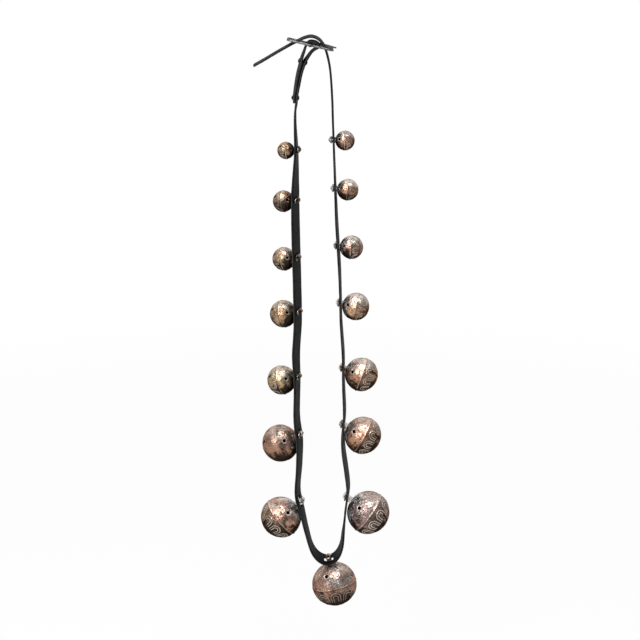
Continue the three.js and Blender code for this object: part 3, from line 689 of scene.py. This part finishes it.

# %% [markdown]
# ## A cast bell
# Every bell follows the same rule, so one tree makes them all from their sizes. It starts from a
# fine ball of square faces and moves each point by what the casting has there: the lip of the seam
# round the middle, the raised petals of nested lines on the far half, and the lumps and dents of
# age. A shank with an eye is joined on, and the hollow, the slit throats and the sound holes are cut
# right through. The axis runs along X, with the shank at the low end and the middle at the origin.
# Four lists hold what sets each bell apart: its tone from mauve to gold, how crisp its relief is,
# how bright its crown is worn and how strong the painted highlight on its top is.

# %% Sizes of a bell
SEAM_RISE = 0.8
DOUBLE_THROAT_FROM = 8
LOOKS = {
    "Tone": [0.85, 0.75, 0.8, 0.8, 1, 0.4, 0.4, 0.35, 0.15, 0.5, 0.6, 0.75, 0.35, 0.65, 0.35],
    "Crispness": [1, 0.7, 0.8, 0.7, 0.9, 0.15, 0.9, 0.6, 1, 0.9, 0.9, 0.7, 0.9, 0.7, 0.8],
    "Crown wear": [0, 0.2, 0.4, 0.25, 0.25, 0.6, 1, 0.7, 0.9, 1, 0.9, 1, 1, 1, 0.7],
    "Top highlight": [0.1, 0.1, 0.3, 0.2, 0.45, 0.1, 0.1, 0.2, 0.15, 0.35, 0.6, 0.8, 0.9, 1, 0.6],
}


def bell_sizes(number, size):
    axes, reach, up = bell_places[number]
    large = size >= DOUBLE_THROAT_FROM
    return {
        "Radius": (graded(25.4, 3.175, size) / 2 - SEAM_RISE) * MM,
        "Half height": graded(24.2, 3, size) / 2 * MM,
        "Wall": graded(2.1, 0.08, size) * MM,
        "Reach": reach,
        "Seam rise": SEAM_RISE * MM,
        "Petals": 10 if large else 8,
        "Line gap": 0.5 if large else 0.34,
        "Sound hole": graded(1.75, 0.085, size) * MM,
        "Hole turn": radians(16) * up,
        "Throat width": graded(2, 0.09, size) * MM,
        "Throat hole": graded(1.5, 0.07, size) * MM,
        "Second throat": radians(90 if large else 0),
        "Shank width": shank_width(size) * MM,
        "Age": 0.1 * int(number),
        "Points": int(60 + 3.4 * size),
        "Up": list(axes.to_3x3().transposed() @ Vector((0, 0, 1))),
        "Finish": bronze,
        **{name: values[int(number) - 1] for name, values in LOOKS.items()},
    }


board, given = new_shape("bell", bell_sizes("01", 1))
radius, tall = given["Radius"], given["Half height"]
print("a bell takes", len(given) - 1, "sizes")

# %% [markdown]
# The casting's surface is a height over a smooth egg. A petal is the set of points at one distance
# from a short upright line, which gives a round top and straight legs, and repeating the angle round
# the axis gives all of them. The seam's lip has a soft upper side and a steep lower side, because
# the two halves of the mould never met exactly.

# %% Bell tree: holes and petals
SOUND_TILT = radians(52)
PETAL_MIDDLE = radians(67)
PETAL_FOOT = radians(46)


def sound_turns():
    """Turns round the axis of the two sound holes, in front and behind."""
    return [pi - given["Hole turn"], 0 - given["Hole turn"]]


def hole_way(turn):
    """How far a sound hole points along the pin and square to it."""
    return [board.maths(side, turn) * sin(SOUND_TILT) for side in ("COSINE", "SINE")]


def petal_lines(down, around):
    """Raised lines of the petals, and the field that they stand in."""
    pitch = tau / given["Petals"]
    offset = board.maths("WRAP", around, pitch / 2, pitch / -2)
    sideways = offset * radius * sin(PETAL_MIDDLE)
    rise = (down - PETAL_MIDDLE) * radius
    width = pitch * radius * (sin(PETAL_MIDDLE) * 0.38)
    arch = board.maths("SQRT", sideways ** 2 + rise.most(0) ** 2) - width
    fine, gap = radius * 0.021, width * given["Line gap"]
    lines = arch.bump_at(0, fine) + (arch + gap).bump_at(0, fine)
    lines = lines + (arch + gap * 2).bump_at(0, fine) * (1 - 1.6 * given["Line gap"])
    foot = down.ramp(PETAL_FOOT, PETAL_FOOT + 0.12)
    field = arch.ramp(radius * 0.12, radius * 0.02)
    sharp = foot * given["Crispness"]
    return lines.least(1) * sharp, field * sharp


print("petals start", round(degrees(PETAL_FOOT)), "degrees from the far pole")

# %% Bell tree: surface of the casting
def casting(way):
    """Height of the casting in a direction from its middle, and its marks for the finish."""
    x, y, z = board.parts(way)
    lines, field = petal_lines(board.maths("ARCCOSINE", x), board.maths("ARCTAN2", z, y))
    step = x * tall
    lip = step.bump_at(0, 1.4 * MM) * step.ramp(0.6 * MM, -0.2 * MM) * given["Crispness"]
    # a painted shadow line just below the seam's lip
    groove = step.bump_at(1.3 * MM, 0.9 * MM) * given["Crispness"]
    rims = []
    for turn in sound_turns():
        hole_y, hole_z = hole_way(turn)
        near = y * hole_y + z * hole_z - x * cos(SOUND_TILT)
        rims.append(board.maths("ARCCOSINE", near.least(1)) * radius - given["Sound hole"])
    rim = rims[0].least(rims[1])
    own = board.along("ADD", board.scaled(way, radius), board.vector(given["Age"]))
    lumps = board.noise(own, 75, 3) - 0.5
    dents = board.noise(own, 260, 2) - 0.5
    pocks = board.noise(own, 120, 2).ramp(0.5, 0.62)
    pocks = pocks * board.cells(own, 210).ramp(0.34, 0.08)
    height = lines * radius * 0.017 + lip * given["Seam rise"] + lumps * radius * 0.05
    height = height + dents * (0.3 * MM) - pocks * (0.28 * MM)
    height = height - rim.bump_at(0, 1.1 * MM) * (0.3 * MM)
    marks = {"petal": lines, "band": field, "seam": lip, "groove": groove}
    # rim: where the finish paints a highlight round each sound hole
    marks |= {"crown": (1 - x) * 0.5, "rim": rim.bump_at(0.1 * MM, 0.9 * MM)}
    marks |= {"tone": given["Tone"], "wear": given["Crown wear"], "polish": given["Top highlight"]}
    return height, marks


spot = board.geo("InputPosition")
grid = {"Size": (2, 2, 2), **{f"Vertices {axis}": given["Points"] for axis in "XYZ"}}
cube = board.geo("MeshCube", grid)
even = [board.maths("TANGENT", value * (pi / 4)) for value in board.parts(spot)]
way = board.along("NORMALIZE", board.vector(*even))
height, _ = casting(way)
x, y, z = board.parts(way)
moved = board.vector(x * (tall + height), y * (radius + height), z * (radius + height))
ball = board.geo("SetPosition", {0: cube, "Position": moved})
print("bell tree has", len(board.tree.nodes), "nodes so far")

# %% [markdown]
# The cuts are simple tools, as a founder's cores and a driller's bits are: a ball for the hollow,
# flat bars for the throats, and round bars for the holes. The ball is narrower along the pin, so that
# no light shows straight through from hole to hole. Each round bar starts upright, moves out to the
# wall and tips over to its direction.

# %% Bell tree: shank and cuts
THROAT_REACH = radians(60)
THROAT_TURN = radians(45)
SHANK_ROOT = 2.2 * MM
HOLLOW_SQUEEZE = 0.8


def moved_by(shape, shift=(0, 0, 0), turn=(0, 0, 0), scale=(1, 1, 1)):
    return board.geo("Transform", {0: shape, 1: shift, 2: turn, 3: scale})


def round_bar(bar_radius, depth, sides=28):
    return board.geo("MeshCylinder", {"Vertices": sides, "Radius": bar_radius, "Depth": depth})


def flat_bar(*sides):
    return board.geo("MeshCube", {"Size": board.vector(*sides)})


def drill(hole_radius, from_far_pole, turn):
    """A round bar through the wall, so far from the far pole and turned round the axis."""
    tool = moved_by(round_bar(hole_radius, radius * 0.6), board.vector(0, 0, radius * 0.95))
    tool = moved_by(tool, turn=(0, pi / 2 - from_far_pole, 0))
    return moved_by(tool, turn=board.vector(turn - pi / 2))


eye_centre = board.vector(given["Reach"] * -1)
root = given["Reach"] - tall + SHANK_ROOT
eye_radius, across_pin = (EYE_HOLE + EYE_WALL) * MM, (pi / 2, 0, 0)
lug = flat_bar(root, given["Shank width"], 2 * eye_radius)
lug = moved_by(lug, board.vector(root / 2 - given["Reach"]))
boss = moved_by(round_bar(eye_radius, given["Shank width"]), eye_centre, across_pin)
whole = board.join(ball, lug, boss)

hollow = {"Radius": tall.least(radius) - given["Wall"], "Subdivisions": 5}
cuts = [moved_by(board.geo("MeshIcoSphere", hollow), scale=(1, HOLLOW_SQUEEZE, 1))]
cuts.append(moved_by(round_bar(EYE_HOLE * MM, given["Shank width"] * 2), eye_centre, across_pin))
start = tall * cos(THROAT_REACH)
deep = tall + 2 * MM - start
for share in (0, 1):
    turn = given["Second throat"] * share + THROAT_TURN
    slit = flat_bar(deep, radius * (2 * sin(THROAT_REACH)), given["Throat width"])
    slit = moved_by(slit, board.vector(start + deep / 2))
    cuts.append(moved_by(slit, turn=board.vector(turn)))
    cuts += [drill(given["Throat hole"], THROAT_REACH, turn + end) for end in (0, pi)]
cuts += [drill(given["Sound hole"], pi - SOUND_TILT, turn) for turn in sound_turns()]
whole = board.cut(whole, cuts)
print(len(cuts), "cuts in a bell")

# %% [markdown]
# After the cuts the marks are worked out again on the finished shape. A point that lies deeper than
# two fifths of the wall gets the hollow's painted shade, and so do the walls of the sound holes. How
# far a point's surface looks down in the hung bell is kept as well: it adds to the stains, gives
# painted shade underneath, and gives painted highlight where the surface looks up.

# %% Bell tree: marks
INSIDE_FROM = 0.4
egg = board.along("DIVIDE", spot, board.vector(tall, radius, radius))
_, marks = casting(board.along("NORMALIZE", egg))
depth = board.along("LENGTH", egg, out=1)
shell = 1 - given["Wall"] / radius * INSIDE_FROM
dark = depth.ramp(shell + 0.02, shell - 0.02)
for turn in sound_turns():
    axis = board.vector(-cos(SOUND_TILT), *hole_way(turn))
    off = board.along("LENGTH", board.along("CROSS_PRODUCT", spot, axis), out=1)
    off = off - given["Sound hole"]
    ahead = board.along("DOT_PRODUCT", spot, axis, out=1)
    dark = dark.most(off.ramp(0.25 * MM, 0.05 * MM) * ahead.ramp(0, MM))
marks["inside"] = dark
facing = board.geo("InputNormal")
marks["under"] = board.along("DOT_PRODUCT", facing, given["Up"], out=1) * -0.5 + 0.5
for name, value in marks.items():
    sockets = {0: whole, "Name": name, "Value": value}
    whole = board.geo("StoreNamedAttribute", sockets, data_type="FLOAT", domain="POINT")
close_shape(whole, given["Finish"], sharp=0.75)

for number, size in zip(NUMBERS, SIZES):
    name = f"bell_{number}"
    mesh = run_tree(board, bell_sizes(number, size))
    axes, reach, _ = bell_places[number]
    middle = axes @ Matrix.Translation((reach, 0, 0))
    place_piece(f"{name}_casting", mesh, name, "bell_bronze", name, axes=middle)
print(len(NUMBERS), "bells, the last of", len(mesh.polygons), "faces")

# %% [markdown]
# ## Split pins
# A split pin is half-round wire, bent double with its flat sides together. The bend makes the ring
# at the front, and behind the eye the two ends are spread so that it can't come out. One path goes
# from end to end and a half-round section is swept along it, flat side inwards.

# %% Dull pin steel
pin_steel, board, place = new_finish("dull pin steel")
cloud = board.noise(place, 220, 4, 0.6)
speck = board.noise(place, 900, 3, 0.65)
rust = speck.ramp(0.58, 0.74)
colour = board.coats(
    (0.08, 0.075, 0.065),
    (cloud.ramp(0.35, 0.65), (0.5, 0.48, 0.44)),
    (rust * 0.6, (0.1, 0.07, 0.05)),
)
rough, metal, shine = 0.22 + cloud * 0.22, 1 - rust * 0.4, tint(0.2, 0.19, 0.17)
close_finish(pin_steel, colour, rough, (0.3, 0.0002, speck), Metallic=metal, Specular_Tint=shine)

# %% Path of a pin
PIN_RING = 3
PIN_RING_MIDDLE = 3.4
PIN_WIRE = 1.2
PIN_SHOW = 2.2
PIN_SPREAD = radians(70)
PIN_TIP = 4.6
PIN_HALVES = 0.06
PIN_NECK = 1
PIN_BEND = 0.8
PARTING, TOGETHER = 0.5, 1.5


def pin_path(size):
    """Points along and across a pin, from one tip round the ring to the other."""
    half = shank_width(size) / 2
    front = -(half + CLEARANCE + PIN_NECK)
    ring = front - PIN_RING_MIDDLE
    back = half + PIN_SHOW - PIN_BEND
    reach_back, rise = PIN_TIP * cos(PIN_SPREAD), PIN_TIP * sin(PIN_SPREAD)
    side = [(back + reach_back * share, rise * share) for share in (1, 0.75, 0.5, 0.25)]
    side += [(back - PARTING, 2 * PIN_HALVES), (back - TOGETHER, PIN_HALVES)]
    straight = front - back + TOGETHER
    side += [(back - TOGETHER + straight * share, PIN_HALVES) for share in (0.35, 0.7, 1)]
    turns = [radians(angle) for angle in range(40, 181, 20)]
    side += [(ring + PIN_RING * cos(angle), PIN_RING * sin(angle)) for angle in turns]
    other = [(along, -across) for along, across in side[:-1]]
    path = np.array([(*point, 0) for point in side + other[::-1]])
    return smooth_line(path, 5)[:, :2]


print("largest pin's path has", len(pin_path(15)), "points")

# %% Pin tree
pin_sizes = {"Wire": PIN_WIRE * MM, "Finish": pin_steel}
board, given = new_shape("pin", pin_sizes)
line = facing_out(board.geo("MeshToCurve", {0: given["Carrier"]}))
wire = board.geo("CurvePrimitiveCircle", {"Resolution": 20, "Radius": given["Wire"]})
x, y, z = board.parts(board.geo("InputPosition"))
wire = board.geo("SetPosition", {0: wire, "Position": board.vector(x.most(0), y, z)})
close_shape(swept(line, wire), given["Finish"], sharp=0.8)


def pin_carrier(size):
    path = pin_path(size)
    ahead = np.gradient(path, axis=0)
    ahead /= np.linalg.norm(ahead, axis=1)[:, None]
    outward = np.stack([np.zeros(len(path)), ahead[:, 1], -ahead[:, 0]], 1)
    points = np.pad(path, ((0, 0), (1, 0))) * MM
    return path_mesh(points, [(i, i + 1) for i in range(len(path) - 1)], out=outward)


for number, size, station in zip(NUMBERS, SIZES, bell_stations):
    name = f"pin_{number}"
    mesh = run_tree(board, pin_sizes, pin_carrier(size))
    axes, _ = seat_axes(number, station)
    place_piece(f"{name}_wire", mesh, "strap", "pin_steel", name, axes=axes)
print(len(NUMBERS), "pins")

# %% [markdown]
# ## Buckle
# The buckle is an oblong of heavy steel wire with a round bar across its middle, and a tongue that
# turns on the bar. It was bright once, and has gone dull with dark patches. It slopes down to the
# right on the folded strap. Wear has thinned its bars.

# %% Buckle steel
buckle_steel, board, place = new_finish("worn buckle steel")
cloud = board.noise(place, 90, 3, 0.55)
tarnish = cloud.ramp(0.45, 0.68)
colour = board.coats((0.2, 0.2, 0.2), (tarnish, (0.05, 0.048, 0.046)))
rough, metal, shine = 0.44 + tarnish * 0.14, 1 - tarnish * 0.2, tint(0.3, 0.3, 0.3)
dent = 0.15, 0.0003, cloud
close_finish(buckle_steel, colour, rough, dent, Metallic=metal, Specular_Tint=shine)

# %% Buckle frame
BAR_RADIUS = 1.9
FRAME_LENGTH = 65
FRAME_WIDTH = 42.6
FRAME_BAR = 4.2
FRAME_DEPTH = 4
FRAME_WEAR = 1.3
FRAME_CORNER = 7
FRAME_ROUNDING = 1.3
FRAME_SLOPE = radians(13)
buckle_axes = Matrix.Translation((0, 0, BAR_RADIUS * MM)) @ Matrix.Rotation(FRAME_SLOPE, 4, "Y")

frame_sizes = {
    "Length": (FRAME_LENGTH - FRAME_BAR) * MM,
    "Width": (FRAME_WIDTH - FRAME_BAR) * MM,
    "Corner": (FRAME_CORNER - FRAME_BAR / 2) * MM,
    "Bar": FRAME_BAR * MM,
    "Depth": (FRAME_DEPTH - FRAME_WEAR) * MM,
    "Bar rounding": FRAME_ROUNDING * MM,
    "Centre bar": BAR_RADIUS * MM,
    "Finish": buckle_steel,
}
board, given = new_shape("buckle frame", frame_sizes)


def rounded_oblong(width, height, corner, steps):
    shape = board.geo("CurvePrimitiveQuadrilateral", {"Width": width, "Height": height})
    sockets = {"Curve": shape, "Count": steps, "Radius": corner, "Limit Radius": True}
    return board.geo("FilletCurve", sockets, mode="POLY")


around = rounded_oblong(given["Length"], given["Width"], given["Corner"], 12)
section = rounded_oblong(given["Bar"], given["Depth"], given["Bar rounding"], 6)
bar = moved_by(round_bar(given["Centre bar"], given["Width"], 32), turn=across_pin)
whole = board.join(swept(around, section, caps=False), bar)
close_shape(whole, given["Finish"], sharp=0.7)
mesh = run_tree(board, frame_sizes)
place_piece("buckle_oblong", mesh, "buckle", "buckle_steel", "buckle_frame", axes=buckle_axes)
print("buckle frame of", len(mesh.polygons), "faces")

# %% [markdown]
# The tongue is flat in one direction and shaped in the other, so it is drawn as a filled outline
# with its eye as a second line, given a thickness, and its edges are rounded.

# %% Buckle tongue
TONGUE_WIDTH = 4.4
TONGUE_DEPTH = 2.6
TONGUE_EYE_WALL = 1.6
TONGUE_OVERHANG = 2.6
EDGE_ROUND = 0.35


def arc(radius, start, stop, steps):
    angles = np.radians(np.linspace(start, stop, steps))
    return [(radius * cos(angle), radius * sin(angle)) for angle in angles]


def tongue_outline():
    eye = BAR_RADIUS + CLEARANCE
    low = FRAME_DEPTH / 2 + CLEARANCE
    top = low + TONGUE_DEPTH
    tip = FRAME_LENGTH / 2 + TONGUE_OVERHANG
    side = [(tip, low + 0.1), (tip + 0.7, low + 0.6)]
    side += [(tip + 0.8, low + 1.2), (tip + 0.3, low + 1.8)]
    side += [(tip - 4 * TONGUE_DEPTH, top), (0, top)]
    side += arc(top, 95, 135, 6) + arc(eye + TONGUE_EYE_WALL, 150, 360, 20)
    side += [(eye + TONGUE_EYE_WALL, low)]
    return side, arc(eye, 0, 345, 24)


def outline_mesh(loops, thickness, rounding):
    """A filled outline with a thickness and rounded edges, about its own plane."""
    drawn = bpy.data.curves.new("outline", "CURVE")
    drawn.dimensions = "2D"
    drawn.fill_mode = "BOTH"
    drawn.extrude = thickness / 2 - rounding
    drawn.bevel_depth = rounding
    drawn.bevel_resolution = 2
    drawn.offset = -rounding
    for loop in loops:
        spline = drawn.splines.new("POLY")
        spline.points.add(len(loop) - 1)
        flat = [value for x, y in loop for value in (x * MM, y * MM, 0, 1)]
        spline.points.foreach_set("co", flat)
        spline.use_cyclic_u = True
    return kept_mesh(show("outline", drawn))


mesh = outline_mesh(tongue_outline(), TONGUE_WIDTH * MM, EDGE_ROUND * MM)
mesh.materials.append(buckle_steel)
upright = buckle_axes @ Matrix.Rotation(pi / 2, 4, "X")
place_piece("buckle_arm", mesh, "tongue", "buckle_steel", "buckle_tongue", axes=upright)
print("tongue of", len(mesh.polygons), "faces")

# %% [markdown]
# ## Rivets
# Two copper rivets close the fold. Each has a domed head on one face, and on the other a burr, which
# is a small washer that the end of the rivet is hammered over. They are turned shapes. The packed
# burr gives the axis: it is flat, so its thin direction is the rivet's.

# %% Browned copper
copper, board, place = new_finish("browned copper")
cloud = board.noise(place, 260, 4, 0.6)
speck = board.noise(place, 1100, 3, 0.65)
colour = board.coats(
    (0.03, 0.02, 0.015),
    (cloud.ramp(0.35, 0.7), (0.16, 0.09, 0.06)),
    (speck.ramp(0.58, 0.74) * 0.6, (0.03, 0.022, 0.018)),
)
dent = 0.4, 0.0003, speck + cloud * 2
close_finish(copper, colour, 0.32 + cloud * 0.3, dent, Metallic=0.9)

# %% Turned shapes
SIDES = 40


def turned_mesh(profile, closed):
    """A profile of radius and height in millimetres, turned about Z in copper."""
    ring = [(cos(angle), sin(angle)) for angle in np.arange(SIDES) * tau / SIDES]
    points = [(r * x * MM, r * y * MM, h * MM) for r, h in profile for x, y in ring]
    faces = []
    rows = len(profile)
    for row in range(rows if closed else rows - 1):
        low, high = row * SIDES, (row + 1) % rows * SIDES
        pairs = [(i, (i + 1) % SIDES) for i in range(SIDES)]
        faces += [(low + i, low + j, high + j, high + i) for i, j in pairs]
    if not closed:
        faces += [tuple(range(SIDES))[::-1], tuple(range((rows - 1) * SIDES, rows * SIDES))]
    mesh = bpy.data.meshes.new("turned")
    mesh.from_pydata(points, [], faces)
    mesh.shade_smooth()
    mesh.set_sharp_from_angle(angle=0.7)
    mesh.materials.append(copper)
    return mesh


print("turned with", SIDES, "sides")

# %% Rivets and burrs
RIVET_RADIUS = 1.6
HEAD_RADIUS, HEAD_RISE, HEAD_LIP = 3.4, 1.7, 0.1
BURR_RADIUS, BURR_THICKNESS, BURR_ROUNDING = 3.4, 0.8, 0.25
PEEN_RADIUS, PEEN_RISE, PEEN_LIP = 2.4, 0.6, 0.15


def points_of(node):
    return np.array([vertex.co for vertex in frame["nodes"][node].data.vertices])


def rivet_axis(label):
    """Axes with Z along the rivet towards its head, at the middle of the burr."""
    burr, rivet = points_of(f"burr_{label}"), points_of(f"rivet_{label}")
    middle = (burr.min(0) + burr.max(0)) / 2
    thin = np.linalg.svd(burr - middle)[2][2]
    thin = thin * np.sign((rivet.mean(0) - middle) @ thin)
    axes = Vector(thin).to_track_quat("Z", "Y").to_matrix().to_4x4()
    axes.translation = Vector(middle)
    heights = (rivet - middle) @ thin / MM
    return axes, heights.min(), heights.max()


def cap(radius, foot, rise, angles):
    """The part of a profile that domes over its foot."""
    return [(radius * cos(a), foot + rise * sin(a)) for a in np.radians(angles)]


bore, half, soft = RIVET_RADIUS + CLEARANCE, BURR_THICKNESS / 2, BURR_ROUNDING
washer = [(bore, -half), (BURR_RADIUS - soft, -half), (BURR_RADIUS, soft - half)]
washer += [(BURR_RADIUS, half - soft), (BURR_RADIUS - soft, half), (bore, half)]
for label in ("upper", "lower"):
    axes, low, high = rivet_axis(label)
    foot, collar = low + PEEN_RISE, high - HEAD_RISE
    rivet = cap(PEEN_RADIUS, foot, -PEEN_RISE, [87, 70, 50, 25])
    rivet += [(PEEN_RADIUS - PEEN_LIP, foot), (RIVET_RADIUS, foot)]
    rivet += [(RIVET_RADIUS, collar), (HEAD_RADIUS - HEAD_LIP, collar)]
    rivet += cap(HEAD_RADIUS, collar, HEAD_RISE, [20, 40, 60, 75, 87])
    for name, profile, closed in (("rivet", rivet, False), ("burr", washer, True)):
        node = f"{name}_{label}"
        mesh = turned_mesh(profile, closed)
        place_piece(f"{node}_turned", mesh, "strap", "rivet_copper", node, axes=axes)
print("last rivet from", round(low, 1), "to", round(high, 1), "mm")

# %% [markdown]
# ## Pellets
# The pellet inside a bell is a rough iron casting, put in before the bell was poured round it. Only
# a glimpse of it shows through the throats. A ball pushed about by noise is enough for it.

# %% Rough iron
iron, board, place = new_finish("rough iron")
cloud = board.noise(place, 300, 4, 0.6)
colour = board.coats((0.05, 0.042, 0.038), (cloud.ramp(0.35, 0.7), (0.19, 0.13, 0.09)))
close_finish(iron, colour, 0.55 + cloud * 0.3, (0.6, 0.0004, cloud), Metallic=0.6)

# %% Pellet tree
ROUGHNESS = 0.5
board, given = new_shape("pellet", ("Radius", "Roughness", "Age", "Finish"))
ball = board.geo("MeshIcoSphere", {"Radius": given["Radius"], "Subdivisions": 5})
own = board.along("ADD", board.geo("InputPosition"), board.vector(given["Age"]))
ball = pushed(ball, board.noise(own, 250, 3) * given["Roughness"] * -1)
close_shape(ball, given["Finish"])
for number, size in zip(NUMBERS, SIZES):
    name = f"pellet_{number}"
    sizes = {"Radius": graded(6.5, 0.75, size) / 2 * MM, "Roughness": ROUGHNESS * MM}
    sizes |= {"Age": 0.1 * int(number), "Finish": iron}
    mesh = run_tree(board, sizes)
    corners = points_of(name)
    middle = Matrix.Translation(Vector((corners.min(0) + corners.max(0)) / 2))
    place_piece(f"{name}_shot", mesh, name, "pellet_iron", name, axes=middle)
print(len(NUMBERS), "pellets")

# %% [markdown]
# ## Floor and light
# The strap hangs clear of a pale floor in a plain studio. The floor is white paper, and the wall
# behind is as white. To the camera and in reflections most of their white is their own, and the rest
# of the floor's is lit, so a soft shadow stays on it. The room in front is dim with a bright ceiling,
# which gives polished metal something dark to show. One broad lamp is overhead, a little in front of
# the strap, and a weaker one is at the left.

# %% Floor
FLOOR_HEIGHT = -1.1
FLOOR_REACH = 9
OWN_WHITE = 0.88


def seen_rays(board):
    """1 for the camera's own rays, and 1 for those or for rays that a shine or a glass sends on."""
    ray = board.shade("LightPath").socket.node
    names = ("Is Camera Ray", "Is Glossy Ray", "Is Transmission Ray")
    direct, shine, glass = (Flow(board, ray.outputs[name]) for name in names)
    return direct, direct.most(shine).most(glass)


paper, board, place = new_finish("white paper")
_, seen = seen_rays(board)
matt = board.shade("BsdfDiffuse", {"Color": tint(0.9, 0.9, 0.9)})
white = board.shade("Emission", {"Color": tint(1, 1, 1), "Strength": 1})
away = board.along("LENGTH", place, out=1).ramp(1.4, 3)
share = seen * (OWN_WHITE + (1 - OWN_WHITE) * away)
sheet = board.shade("MixShader", {0: share, 1: matt, 2: white})
board.shade("OutputMaterial", {"Surface": sheet})
floor_mesh = bpy.data.meshes.new("floor")
square = (-1, -1), (1, -1), (1, 1), (-1, 1)
corners = [(x * FLOOR_REACH, y * FLOOR_REACH, FLOOR_HEIGHT) for x, y in square]
floor_mesh.from_pydata(corners, [], [(0, 1, 2, 3)])
floor_mesh.materials.append(paper)
floor = show("floor", floor_mesh)
print("floor at", FLOOR_HEIGHT, "m from the hanging point")

# %% Light
world = bpy.data.worlds.new("studio")
board = clear_board(world)
_, back, up = board.parts(board.shade("TexCoord", None, "Generated"))
direct, seen = seen_rays(board)
room = board.coats((0.1, 0.1, 0.103), (up.ramp(0.1, 1), (0.8, 0.8, 0.8)))
wall = direct.most(seen * back.ramp(0.1, 0.6))
glow = {"Color": board.mix(wall, room, tint(1, 1, 1)), "Strength": 1}
board.shade("OutputWorld", {"Surface": board.shade("Background", glow)})
bpy.context.scene.world = world


def lamp(label, place, target, size, power):
    light = bpy.data.lights.new(label, "AREA")
    light.shape = "DISK"
    light.size = size
    light.energy = power
    holder = show(label, light)
    holder.location = place
    holder.rotation_euler = (Vector(target) - Vector(place)).to_track_quat("-Z", "Y").to_euler()


lamp("broad lamp", (0.1, -0.8, 2.2), target=(0, 0, -0.4), size=1.1, power=44)
lamp("weak lamp", (-1.2, -1.9, 0.7), target=(0, 0, -0.45), size=0.9, power=28)
bpy.context.scene.view_settings.view_transform = "Standard"
print("two lamps and a dim room")
